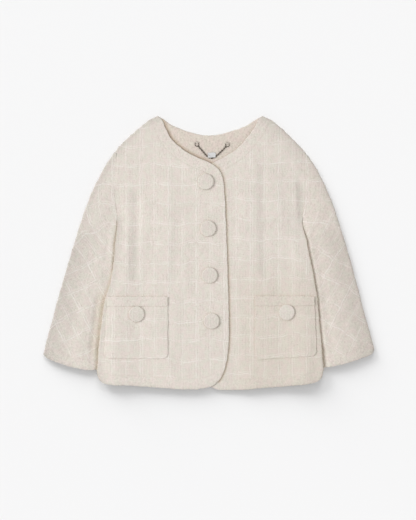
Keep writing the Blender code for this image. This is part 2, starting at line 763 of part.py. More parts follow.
def button_mesh():
    """A covered button's profile: domed head with a rounded rim, and the shank under it."""
    r, h, s = BUTTON_RADIUS, BUTTON_HEAD, BUTTON_STEM
    profile = (
        (0.0, s + h),
        (0.45 * r, s + 0.95 * h),
        (0.78 * r, s + 0.78 * h),
        (0.95 * r, s + 0.52 * h),
        (r, s + 0.3 * h),
        (0.95 * r, s + 0.06 * h),
        (0.84 * r, s),
        (STEM_RADIUS, s),
        (STEM_RADIUS, 0.0),
        (0.0, 0.0),
    )
    mesh = bpy.data.meshes.new("covered_button")
    points = [(x * MM, 0.0, z * MM) for x, z in profile]
    mesh.from_pydata(points, [(i, i + 1) for i in range(len(points) - 1)], [])
    return mesh


def buttons(collection):
    """Every button, standing square to the cloth under it."""
    mesh = button_mesh()
    for name, carrier, x, y in BUTTONS:
        item = place_object(name, mesh, "tweed", collection)
        panel = carrier.replace("pocket_", "front_")
        above = SEAM if panel == carrier else 2 * SEAM + POCKET
        z = body_top(x, y, panel)
        span = SLOPE_SPAN
        slope_x = (body_top(x + span, y, panel) - body_top(x - span, y, panel)) / (2 * span)
        slope_y = (body_top(x, y + span, panel) - body_top(x, y - span, panel)) / (2 * span)
        normal = Vector((-slope_x, -slope_y, 1.0)).normalized()
        item.rotation_mode = "QUATERNION"
        item.rotation_quaternion = Vector((0.0, 0.0, 1.0)).rotation_difference(normal)
        item.location = Vector((x, y, z)) * MM + normal * above * MM
        spin = item.modifiers.new("turned", "SCREW")
        spin.steps = spin.render_steps = BUTTON_STEPS
        spin.use_merge_vertices = True
        spin.merge_threshold = 0.00001
        spin.use_smooth_shade = True


def hanger(collection):
    """Chain loop, its two rings and the label that holds it, all on the neck facing."""
    ground = TWEED + SEAM + FACING
    route = Line(CHAIN)
    curve = bpy.data.curves.new("hanger_chain", "CURVE")
    curve.dimensions = "3D"
    curve.bevel_depth = 0.5 * CHAIN_THICK * MM
    curve.bevel_resolution = 2
    curve.use_fill_caps = True
    spline = curve.splines.new("POLY")
    shares = np.linspace(0.0, 1.0, 21)
    spline.points.add(len(shares) - 1)
    for point, share in zip(spline.points, shares):
        x, y = route.at(share)
        point.co = (x * MM, y * MM, (ground + SEAM + 0.5 * CHAIN_THICK) * MM, 1.0)
    chain = bpy.data.objects.new("hanger_chain", curve)
    curve.materials.append(material("chain_metal"))
    collection.objects.link(chain)
    for name, x, y in RINGS:
        bpy.ops.mesh.primitive_torus_add(major_radius=RING_RADIUS * MM, minor_radius=RING_WIRE * MM,
                                         major_segments=14, minor_segments=6)
        made = bpy.context.object
        mesh = made.data
        bpy.data.objects.remove(made)
        ring = place_object(name, mesh, "chain_metal", collection)
        ring.location = Vector((x, y, ground + SEAM + RING_WIRE)) * MM
    rows = []
    under = polyline(route)
    for y in np.linspace(LABEL_Y[0], LABEL_Y[1], 11):
        row = []
        for x in np.linspace(LABEL_X[0], LABEL_X[1], 7):
            over = 1.0 - float(ease((distance(x, y, under) - LABEL_OVER) / LABEL_DROP))
            row.append((x, y, ground + SEAM + over * (CHAIN_THICK + SEAM)))
        rows.append(row)
    label = place_object("hanger_label", surface_mesh("hanger_label", rows), "label_white", collection)
    thicken(label, LABEL)


def main():
    collection = clear_scene()
    back(collection)
    for side in (RIGHT, LEFT):
        front(side, collection)
        sleeve(side, collection)
    neck_facing(collection)
    for row in POCKETS:
        pocket(row, collection)
    buttons(collection)
    hanger(collection)


main()
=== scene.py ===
# %% [markdown]
# # A cropped tweed jacket, laid flat
# The packed frame gives every cloth panel as a plain stiff wall. This scene dresses it: each panel is
# laid out again on the same pattern lines, finely enough for creases, rounded edges and seams, and gets
# a bouclé tweed whose threads follow the cloth's own grain.

import math

import bmesh
import bpy
import numpy as np
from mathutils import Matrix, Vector


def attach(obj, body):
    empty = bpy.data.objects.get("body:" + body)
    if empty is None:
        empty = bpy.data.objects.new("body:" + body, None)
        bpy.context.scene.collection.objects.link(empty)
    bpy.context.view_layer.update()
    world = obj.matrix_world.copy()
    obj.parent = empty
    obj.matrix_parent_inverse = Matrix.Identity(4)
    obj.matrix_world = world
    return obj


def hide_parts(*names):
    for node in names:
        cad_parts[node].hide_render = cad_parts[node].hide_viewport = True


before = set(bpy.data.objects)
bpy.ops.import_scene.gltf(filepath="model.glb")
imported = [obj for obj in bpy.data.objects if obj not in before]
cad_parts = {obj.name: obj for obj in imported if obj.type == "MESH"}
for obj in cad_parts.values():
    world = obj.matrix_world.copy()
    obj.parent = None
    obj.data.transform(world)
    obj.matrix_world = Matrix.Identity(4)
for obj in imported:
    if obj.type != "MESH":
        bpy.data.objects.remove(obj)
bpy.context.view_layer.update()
MM = 0.001
RIGHT, LEFT = SIDES = (0, 1)

# %% [markdown]
# ## Pattern lines
# A maker draws a jacket as a few curves: shoulder, neck, front edge, hem, armhole, side, sleeve. These
# are the frame's own curves in millimetres from above, each row holding x and y on the right and on the
# left half. Following the same numbers keeps every panel on its solid.

# %% The pattern's numbers
SHOULDER = ((-174.5, 188, 176, 189), (-160.5, 204, 161.5, 204.5), (-143.5, 220, 145.5, 220),
            (-126, 235, 129.5, 235), (-109, 247.5, 112, 248), (-96, 254.2, 98.5, 254.2))
NECK_FRONT = ((-96, 254.2, 98.5, 254.2), (-89, 248.5, 92.3, 249), (-80.5, 231, 85, 234.5),
              (-73.5, 216.5, 74.5, 219), (-62, 203, 63.5, 205.5), (-48.5, 191.5, 48, 190.5),
              (-29, 180, 31.5, 180), (-9, 171.3, 13, 170.5), (1, 167, 2.5, 165), (10, 161.8, -7, 159),
              (18.5, 154.3, -16, 151.5))
FRONT_EDGE = ((18.5, 154.3, -16, 151.5), (24, 144, -22.5, 141), (26.5, 131, -26, 128),
              (28.2, 112, -28.5, 108), (30.7, 67, -31, 67), (33, 2, -31.5, 2), (35, -55, -31.5, -55),
              (36.4, -111, -31.5, -111), (36.8, -154, -31, -154), (35, -183, -29, -183),
              (30.5, -208, -25.5, -205), (24.5, -226, -19, -224), (17.5, -237.5, -11.5, -237))
HEM_FRONT = ((-203.5, -235.5, 207.5, -232.5), (-196, -241.3, 200, -238), (-184, -244, 186, -241.5),
             (-156, -244.9, 160, -245.2), (-127, -246.9, 127, -247.6), (-97, -249.2, 95, -250.6),
             (-68, -251.5, 65, -253.2), (-40, -252.7, 36, -254.2), (-20, -252, 20, -253.8),
             (-6, -249.8, 8.5, -250.6), (7.5, -245.3, -2.5, -245.5), (17.5, -237.5, -11.5, -237))
ARMHOLE = ((-174.5, 188, 176, 189), (-171.8, 185.8, 173.3, 186.8), (-171.4, 178, 173, 178),
           (-174.4, 155, 176, 155), (-175.6, 118, 177.6, 118), (-173, 84, 175.4, 84),
           (-170.4, 66, 172.8, 66), (-170.2, 60, 172.6, 60))
BODY_SIDE = ((-170.2, 60, 172.6, 60), (-170.1, 59.5, 172.5, 59.5), (-170.0, 57, 172.5, 57),
             (-170.4, 50, 173.6, 50), (-172.2, 36, 177.1, 36), (-174.5, 14, 181.8, 14),
             (-178, -28, 190.2, -28), (-184.5, -58, 196, -58), (-193.5, -88, 200.3, -88),
             (-199, -125, 203.5, -125), (-203, -158, 206.6, -158), (-205.8, -192, 209.6, -192),
             (-206.8, -222, 210.8, -220), (-203.5, -235.5, 207.5, -232.5))
SLEEVE_OUTER = ((-174.5, 188, 176, 189), (-190.5, 165, 193.5, 165), (-203, 142, 206.5, 142),
                (-215.5, 117, 218.3, 117), (-227.5, 87, 230.3, 87), (-237.8, 57, 240.3, 57),
                (-248.2, 24, 250.6, 24), (-259.5, -13, 261.8, -13), (-270.3, -50, 271.8, -50),
                (-281, -87, 281.6, -87), (-290.5, -124, 291, -124), (-300, -157, 300, -155),
                (-307.6, -187, 306.2, -179.5))
SLEEVE_INNER = ((-170.8, 60, 173.2, 60), (-170.8, 59.5, 173.2, 59.5), (-170.8, 57, 173.2, 57),
                (-170.9, 50, 174.1, 50), (-172.6, 36, 177.5, 36), (-174.8, 14, 182.1, 14),
                (-175.6, -28, 184.3, -28), (-177.5, -75, 186, -75), (-181, -140, 188.5, -140),
                (-187, -214, 191, -211))
CUFF = ((-307.6, -187, 306.2, -179.5), (-303.4, -193, 300.8, -188), (-290, -199.4, 286, -193.2),
        (-270, -207, 268, -200), (-247, -213, 245, -207), (-216, -216.8, 217, -211.6),
        (-187, -214, 191, -211))
NECK_BACK = ((-96, 254.2), (-86.5, 249.5), (-71.5, 239), (-52, 230), (-30, 222.5), (-10, 219), (6, 218.6),
             (24, 221.2), (44, 227), (68, 236), (89, 249), (98.5, 254.2))
HEM_BACK = ((-203.5, -235.5), (-184, -241), (-127, -243.5), (-60, -247.5), (4, -246), (60, -249),
            (127, -244.5), (186, -238.5), (207.5, -232.5))


def half(table, side):
    return [row[2 * side:2 * side + 2] for row in table]


print("rows of the longest line:", len(BODY_SIDE))

# %% [markdown]
# ## Smooth lines and patches
# A pattern curve is smooth, so a line here is a cubic through its points, read by its share of length.
# A panel is then a patch spanned between four such lines, as cloth is cut between four seams: the two
# across and the two down are blended, less the corners that both would count.


# %% Lines and patches
def ease(t):
    """0 below 0, 1 above 1, and a soft step between."""
    t = np.clip(t, 0.0, 1.0)
    return t * t * (3 - 2 * t)


class Line:
    """A smooth line through points, read by its share of length."""

    def __init__(self, points):
        points = np.array(points, float)
        steps = np.linalg.norm(np.diff(points, axis=0), axis=1)
        self.length = steps.sum()
        knots = np.concatenate(([0], np.cumsum(steps))) / self.length
        slopes = np.gradient(points, knots, axis=0)
        self.shares = np.linspace(0, 1, 481)
        i = np.clip(np.searchsorted(knots, self.shares, side="right") - 1, 0, len(knots) - 2)
        span = (knots[i + 1] - knots[i])[:, None]
        s = (self.shares - knots[i])[:, None] / span
        self.places = ((1 + 2 * s) * (1 - s) ** 2 * points[i] + s * (1 - s) ** 2 * span * slopes[i]
                       + s * s * (3 - 2 * s) * points[i + 1] + s * s * (s - 1) * span * slopes[i + 1])

    def at(self, t):
        return np.stack([np.interp(t, self.shares, self.places[:, k]) for k in (0, 1)], axis=-1)


class Joined(Line):
    """Several lines end to end. like= reads them so that the corners come at another's shares."""

    def __init__(self, *lines, like=None):
        self.length = sum(line.length for line in lines)
        self.corners = np.cumsum([0] + [line.length for line in lines]) / self.length
        if like is not None:
            self.corners = like.corners
        self.places = np.concatenate([line.places for line in lines])
        self.shares = np.concatenate([a + line.shares * (b - a) for line, a, b
                                      in zip(lines, self.corners, self.corners[1:])])


def patch(top, bottom, left, right):
    """A surface spanned between four lines that share their corners; u runs across, v down."""
    def place(u, v):
        u, v = u[..., None], v[..., None]
        across = (1 - v) * top.at(u[..., 0]) + v * bottom.at(u[..., 0])
        down = (1 - u) * left.at(v[..., 0]) + u * right.at(v[..., 0])
        corners = ((1 - u) * (1 - v) * top.at(0.0) + u * (1 - v) * top.at(1.0)
                   + (1 - u) * v * bottom.at(0.0) + u * v * bottom.at(1.0))
        return across + down - corners
    return place


LINES = {name: [Line(half(table, side)) for side in SIDES] for name, table in (
    ("shoulder", SHOULDER), ("neck", NECK_FRONT), ("edge", FRONT_EDGE), ("hem", HEM_FRONT),
    ("armhole", ARMHOLE), ("side", BODY_SIDE), ("outer", SLEEVE_OUTER), ("inner", SLEEVE_INNER),
    ("cuff", CUFF))}
NECK_BACK_LINE, HEM_BACK_LINE = Line(NECK_BACK), Line(HEM_BACK)
print("pattern lines in mm:", {name: [round(line.length) for line in pair] for name, pair in LINES.items()})

# %% [markdown]
# ## Distances
# Cloth turns over at its folds and is stitched at a set distance from its edges, so nearly everything
# below asks how far a place is from some line. A coarser polyline is enough for that, and fast.


# %% Distances from the edges
def polyline(*lines):
    return np.concatenate([line.places[::3] for line in lines])


def distance(xy, points):
    """Shortest distance in plan from each place to a polyline."""
    flat = np.asarray(xy, float).reshape(-1, 2)
    start, along = points[:-1], np.diff(points, axis=0)
    squared = np.maximum((along * along).sum(1), 1e-12)
    found = np.empty(len(flat))
    for i in range(0, len(flat), 4000):
        to = flat[i:i + 4000, None] - start
        share = np.clip((to * along).sum(2) / squared, 0, 1)
        found[i:i + 4000] = np.sqrt(((to - share[..., None] * along) ** 2).sum(2).min(1))
    return found.reshape(np.shape(xy)[:-1])


def on_halves(*names):
    """A polyline of the named pattern lines on each half."""
    return [polyline(*(LINES[name][side] for name in names)) for side in SIDES]


OUTLINE = [np.concatenate((LINES["shoulder"][s].places[::-3], LINES["outer"][s].places[::3])) for s in SIDES]
SIDE_FOLD, INNER_FOLD = on_halves("side"), on_halves("inner")
NECK_LINE, EDGE_LINE = on_halves("neck"), on_halves("neck", "edge")
HEM_LINE, CUFF_LINE = on_halves("hem"), on_halves("cuff")
print("points of an outline:", len(OUTLINE[RIGHT]))

# %% [markdown]
# ## Heights of the laid cloth
# Laid flat, a jacket is two layers that turn over at its sides, and the body's sides lie on the inner
# edges of the sleeves. The height is a formula of the place, so that any panel can be laid out at any
# fineness and still lie on its neighbour. A simulation could find the same rest, but it would move the
# edges off the pattern; here the creases are given instead.

# %% Heights in millimetres
TWEED, SEAM, FOLD = 2.5, 0.4, 3.5      # wall, space between two walls, radius of a folded edge
MIDDLE, LOFT_RUN = 8.9, 30.0           # height of two layers away from the folds, and the run up to it
CENTRE, CENTRE_NECK, CENTRE_FROM, CENTRE_TO = 5.5, 7.5, 70.0, 152.0
LIFT, LIFT_DOWN, LIFT_IN, LIFT_HEM, HEM_FALL = 7.5, 45.0, 60.0, 0.45, 26.0
UNDERARM_Y, COVER_Y, CUFF_Y, COVERED, COVER_CLEAR = 60.0, 14.0, -222.0, 20.0, 3.0
LAP_FROM, LAP_FULL, LAP_SEAM, DIP_FULL, DIP_TO = -62.0, -35.0, 0.6, 40.0, 80.0
HEM_BAND, NECK_BAND = 19.0, 20.0       # lines of stitches lie this far inside hem and cuffs, and the neck
HEM_DEEP, NECK_DEEP, CUFF_DEEP = 0.14, 0.1, 0.12
DRAPE_HIGH, LUMPS_HIGH = 0.25, 0.12
FADE_ENDS, FADE_FOLD, FADE_SIDE = 24.0, 14.0, 6.0

# Columns: panel, where the trough starts, where it ends, half width, depth; below 0 it is a ridge
TROUGHS = (
    ("front_right", -136, 112, -138, -40, 13, 1.2), ("front_right", -56, 60, -66, -60, 15, 1.0),
    ("front_right", -168, 112, -168.5, 66, 13, 0.7), ("front_right", -118, 96, -121, -10, 15, -0.7),
    ("front_right", -92, 120, -104, 20, 14, 0.35), ("front_right", -160, 46, -136, 18, 9, 0.5),
    ("front_right", -150, -60, -120, -76, 12, 0.5), ("front_right", -70, -150, -60, -215, 14, 0.5),
    ("front_left", 98, 156, 102, -34, 14, 1.3), ("front_left", 168, 124, 171, 66, 11, 1.9),
    ("front_left", 64, 96, 66, -20, 13, -0.6), ("front_left", 134, 80, 136, -44, 13, -0.6),
    ("front_left", 152, 44, 128, 20, 9, 0.5), ("front_left", 70, -120, 76, -214, 12, 0.5),
    ("front_left", 127, -105, 116, -101, 4, 0.5), ("front_left", 129, -117, 119, -123, 4, 0.45),
    ("sleeve_right", -196, 34, -232, 62, 12, 0.9), ("sleeve_right", -275, -62, -246, -108, 15, 1.2),
    ("sleeve_right", -214, -60, -228, -190, 14, 0.9), ("sleeve_right", -206, -20, -252, 4, 10, 0.6),
    ("sleeve_right", -192, -96, -206, -176, 8, -0.7), ("sleeve_right", -262, -128, -276, -172, 12, -0.6),
    ("sleeve_left", 196, 40, 226, 84, 13, 1.0), ("sleeve_left", 262, 0, 238, -70, 16, 1.1),
    ("sleeve_left", 280, -92, 246, -130, 14, 0.9), ("sleeve_left", 204, -6, 246, 22, 10, 0.6),
    ("sleeve_left", 216, -92, 226, -180, 12, 0.7), ("sleeve_left", 262, -134, 276, -176, 12, -0.6),
)


def spectrum(seed, smallest, largest, count=14):
    """Even noise about 1 high: waves of random direction between two wavelengths in millimetres."""
    pick = np.random.default_rng(seed)
    turn_by, phase = pick.uniform(0, 2 * np.pi, (2, count))
    rate = 2 * np.pi / np.exp(pick.uniform(np.log(smallest), np.log(largest), count))
    return lambda xy: np.sqrt(2 / count) * np.cos(
        xy[..., 0, None] * rate * np.cos(turn_by) + xy[..., 1, None] * rate * np.sin(turn_by) + phase).sum(-1)


WARP_X, WARP_Y = spectrum(11, 9, 34), spectrum(12, 9, 34)
LUMPS, DRAPE = spectrum(13, 8, 22), spectrum(14, 38, 90)


def turn(d, reach=FOLD, inside=0.0, across=FOLD):
    """How far a surface has curved away at the plan distance d from an edge that turns over."""
    share = np.clip((d - inside) / (across - inside), 0, 1)
    return (reach - inside) * (1 - np.sqrt(1 - (1 - share) ** 2))


def track(xy, x0, y0, x1, y1):
    """Distance from a straight track in plan, and a share that fades at its ends."""
    run = math.hypot(x1 - x0, y1 - y0)
    dx, dy = xy[..., 0] - x0, xy[..., 1] - y0
    along = (dx * (x1 - x0) + dy * (y1 - y0)) / run
    off = np.abs(dx * (y1 - y0) - dy * (x1 - x0)) / run
    return off, ease((along + FADE_ENDS) / FADE_ENDS) * ease((run + FADE_ENDS - along) / FADE_ENDS)


def trough(xy, panel):
    depth = np.zeros(xy.shape[:-1])
    for name, *course, wide, deep in TROUGHS:
        if name == panel:
            off, ends = track(xy, *course)
            depth += deep * ends * (1 - ease(off / wide))
    return depth


def groove(d, at, wide=2.2):
    """A soft line pressed into the cloth at one distance from an edge."""
    return np.exp(-((d - at) / wide) ** 2)


print("troughs and ridges:", len(TROUGHS))

# %% [markdown]
# ## The body's two skins
# The front is highest in the middle of each half and dips where it laps; the back rests on the surface.
# Both rise at the sides, where the sleeves lie beneath. Where body and sleeve are sewn together at the
# underarm neither turns down, and further down they open by and by.

# %% Heights of front and back
# Share of a turn that is left where two tops are sewn together, and how body and sleeve open below the
# underarm: heights on the right and left half, with the shares there
SEWN = 0.12
OPENS_AT = ((-195.0, -170.0, -45.0, -8.0), (-200.0, -165.0, -60.0, 40.0))
OPENS_BY = ((1.0, 1.0, 1.0, SEWN), (1.0, 0.35, 0.2, SEWN))


def known(found, xy, edge):
    """A distance that is known already, or else the one measured in plan."""
    return distance(xy, edge) if found is None else found


def lift(xy, fold):
    """Height of the body's underside where a sleeve lies beneath it; fold is the distance to its side."""
    y = xy[..., 1]
    kept = ease((UNDERARM_Y - y) / LIFT_DOWN) * (1 - LIFT_HEM * ease((CUFF_Y - y) / HEM_FALL))
    hidden = np.interp(y, (CUFF_Y, COVER_Y), (COVERED, 0)) + COVER_CLEAR
    return LIFT * kept * (1 - ease((fold - hidden) / LIFT_IN))


def loft(to_edge):
    return 2 * FOLD + (MIDDLE - 2 * FOLD) * ease((to_edge - FOLD) / LOFT_RUN)


def closed(xy, side):
    """Share of its turn that a top keeps where body and sleeve meet."""
    return np.interp(xy[..., 1], OPENS_AT[side], OPENS_BY[side])


def body_top(xy, side, outline=None, fold=None, inside=0.0):
    """Height of a front's outer skin, or of the skin inside it by the given thickness."""
    outline, fold = known(outline, xy, OUTLINE[side]), known(fold, xy, SIDE_FOLD[side])
    x, y = xy[..., 0], xy[..., 1]
    z = loft(np.minimum(outline, fold))
    middle = CENTRE + (CENTRE_NECK - CENTRE) * ease((y - CENTRE_FROM) / (CENTRE_TO - CENTRE_FROM))
    if side == RIGHT:
        z = z + ease((x - LAP_FROM) / (LAP_FULL - LAP_FROM)) * (middle + LAP_SEAM + TWEED - z)
    else:
        z = z + (1 - ease((x - DIP_FULL) / (DIP_TO - DIP_FULL))) * (middle - z)
    calm = ease(np.minimum(outline, fold) / FADE_FOLD)
    relief = trough(xy, ("front_right", "front_left")[side]) - DRAPE_HIGH * DRAPE(xy)
    relief = relief - LUMPS_HIGH * LUMPS(xy) + NECK_DEEP * groove(distance(xy, NECK_LINE[side]), NECK_BAND)
    relief = relief + HEM_DEEP * groove(distance(xy, HEM_LINE[side]), HEM_BAND)
    reach = FOLD - SEAM / 2
    turned = turn(outline, reach, inside) + turn(fold, reach, inside) * closed(xy, side)
    return z + lift(xy, fold) - relief * calm - inside - turned


def body_bottom(xy, side, outline=None, fold=None, inside=0.0):
    """Height of the back, which rests on the ground but for its sides."""
    outline, fold = known(outline, xy, OUTLINE[side]), known(fold, xy, SIDE_FOLD[side])
    reach = FOLD - SEAM / 2
    return lift(xy, fold) + inside + turn(outline, reach, inside) + turn(fold, reach, inside)


print("heights in mm at the lap and the chest:",
      body_top(np.array([[0.0, 0.0], [-120.0, 0.0]]), RIGHT).round(2))

# %% [markdown]
# ## A sleeve's two skins
# A sleeve is a flat tube that disappears under the body's side. Just outside that side it swells a
# little, because its cloth is pushed together there; the right one is also pressed into a fold, and
# beside the cuffs both fall away.

# %% Heights of a sleeve
SWELL, SWELL_OUT, SWELL_WIDE, SWELL_ENDS = 2.8, 5.0, 6.5, (-40.0, -190.0)    # ends on the two halves
PRESSED_FROM, PRESSED_TO = -58.0, -205.0
PRESSED_RIDGE, RIDGE_WIDE, RIDGE_HIGH = 6.5, 2.4, 0.8
PRESSED_DIP, DIP_WIDE, DIP_DEEP = 13.0, 3.2, 1.1
FALL_FROM, FALL_OVER, FALL_WIDE, FALL = -152.0, 28.0, 4.0, 1.8


def pressed(y):
    return ease((PRESSED_FROM - y) / 30) * ease((y - PRESSED_TO) / 30)


def under_body(xy, side, wider=0.0):
    """Whether a place of the sleeve lies under the body, or within a distance outside it."""
    edge_x = np.interp(-xy[..., 1], -SIDE_FOLD[side][:, 1], SIDE_FOLD[side][:, 0])
    return (np.abs(xy[..., 0]) < np.abs(edge_x) + wider) & (xy[..., 1] < UNDERARM_Y)


def sleeve_top(xy, side, outer=None, inner=None, inside=0.0):
    outer, inner = known(outer, xy, OUTLINE[side]), known(inner, xy, INNER_FOLD[side])
    y, beside, within = xy[..., 1], distance(xy, SIDE_FOLD[side]), under_body(xy, side)
    z = loft(np.minimum(outer, np.where(within, 0.0, beside)))
    calm = ease(np.minimum(outer, inner) / FADE_FOLD) * np.where(within, 0.0, ease(beside / FADE_SIDE))
    relief = trough(xy, ("sleeve_right", "sleeve_left")[side]) - DRAPE_HIGH * DRAPE(xy) - LUMPS_HIGH * LUMPS(xy)
    relief = relief + CUFF_DEEP * groove(distance(xy, CUFF_LINE[side]), HEM_BAND)
    if side == RIGHT:
        relief = relief + pressed(y) * (DIP_DEEP * groove(beside, PRESSED_DIP, DIP_WIDE)
                                        - RIDGE_HIGH * groove(beside, PRESSED_RIDGE, RIDGE_WIDE))
    swell = ease((UNDERARM_Y - y) / LIFT_DOWN) * ease((y - SWELL_ENDS[side]) / 25)
    z = z + SWELL * swell * np.where(within, 0.0, groove(beside, SWELL_OUT, SWELL_WIDE))
    fall = ease((FALL_FROM - y) / FALL_OVER) * np.where(within, 1.0, groove(beside, 0.0, FALL_WIDE))
    turned = turn(outer, FOLD, inside) + turn(inner, FOLD, inside) * closed(xy, side)
    return z - FALL * fall - relief * calm - inside - turned


def sleeve_bottom(xy, side, outer=None, inner=None, inside=0.0):
    outer, inner = known(outer, xy, OUTLINE[side]), known(inner, xy, INNER_FOLD[side])
    return inside + turn(outer, FOLD, inside) + turn(inner, FOLD, inside)


print("height in mm of a sleeve:", sleeve_top(np.array([[-240.0, -100.0]]), RIGHT).round(2))

# %% [markdown]
# ## A closed wall of cloth
# Real cloth has two faces and a thickness. A Solidify modifier would give that to a single skin, but
# here the two skins turn over with different radii, so each wall is made from both at once. Its UV map
# is the grain, so that a weave can follow the threads however the panel lies.

# %% Walls
ROUND = 1.25           # radius of a turned edge: half the wall
STEP = 3.0             # usual distance between rows or columns
TURN_SHARES = 1 - np.cos(np.radians((0, 15, 30, 45, 60, 75, 90)))
FREE_INSETS = np.array((0, 0.167, 0.625, 1.25, 2.0, 2.8, 3.6))
WARP = 0.26


def placed_mesh(name, work, merge=None):
    """The finished bmesh as an object at the origin."""
    for face in work.faces:
        face.smooth = True
    if merge is not None:
        bmesh.ops.remove_doubles(work, verts=list(work.verts), dist=merge)
        bmesh.ops.recalc_face_normals(work, faces=list(work.faces))
    mesh = bpy.data.meshes.new(name)
    work.to_mesh(mesh)
    work.free()
    item = bpy.data.objects.new(name, mesh)
    bpy.context.scene.collection.objects.link(item)
    return item


def wall(name, outer, inner, grain, ring=False, way=(1.0, 0.0, 0.0), marks=None):
    """A closed mesh between two skins of places in millimetres.

    The cloth's grain is its UV map, the direction of its crosswise threads and any further marks
    are its attributes. The order of the faces decides where loops of yarn are strewn on them later.
    """
    marks = {mark: np.broadcast_to(value, outer.shape[:2]) for mark, value in (marks or {}).items()}
    ways = np.broadcast_to(way, outer.shape)
    work = bmesh.new()
    rows, columns = outer.shape[:2]
    steps = [(i, (i + 1) % columns) for i in range(columns if ring else columns - 1)]
    layer = work.loops.layers.uv.new("grain")
    thread = work.verts.layers.float_vector.new("thread")
    layers = {mark: work.verts.layers.float.new(mark) for mark in marks}
    skins = [[[work.verts.new(p) for p in row] for row in skin * MM] for skin in (outer, inner)]
    outside, inside = skins
    places = {}
    for skin in skins:
        for j in range(rows):
            for i in range(columns):
                vert = skin[j][i]
                places[vert] = grain[j, i] * MM
                vert[thread] = ways[j, i]
                for mark, kept in layers.items():
                    vert[kept] = marks[mark][j, i] * (skin is outside or mark != "bare")
    for skin in skins:
        for upper, lower in zip(skin, skin[1:]):
            for i, k in steps:
                work.faces.new((upper[i], upper[k], lower[k], lower[i]))
    for j in (0, rows - 1):
        for i, k in steps:
            work.faces.new((outside[j][i], outside[j][k], inside[j][k], inside[j][i]))
    for i in () if ring else (0, columns - 1):
        for j in range(rows - 1):
            work.faces.new((outside[j][i], outside[j + 1][i], inside[j + 1][i], inside[j][i]))
    for face in work.faces:
        for loop in face.loops:
            loop[layer].uv = places[loop.vert]
    return placed_mesh(name, work, merge=0.00002)


def warped(xyz):
    """The same slight unevenness for every piece, so that edges look handmade and seams stay shut."""
    moved = xyz.copy()
    moved[..., 0] += WARP * WARP_X(xyz[..., :2])
    moved[..., 1] += WARP * WARP_Y(xyz[..., :2])
    return moved


print("rows of a fold:", len(TURN_SHARES))

# %% [markdown]
# ## Laying out the body
# Columns crowd round a folded edge, where they follow the turn, and round a cut edge, where the two
# skins meet in a rounded rim as a turned seam does. The places near an edge are found by halving steps
# until they lie at their exact distance from it.


# %% Rows and columns of a body panel
def solve(place, edge, wanted, limit=0.12):
    """Shares at which the places lie at the wanted distances from an edge."""
    low, high = np.zeros_like(wanted), np.full_like(wanted, limit)
    for _ in range(22):
        middle = (low + high) / 2
        near = distance(place(middle), edge) < wanted
        low, high = np.where(near, middle, low), np.where(near, high, middle)
    return np.where(wanted > 0, high, 0.0)


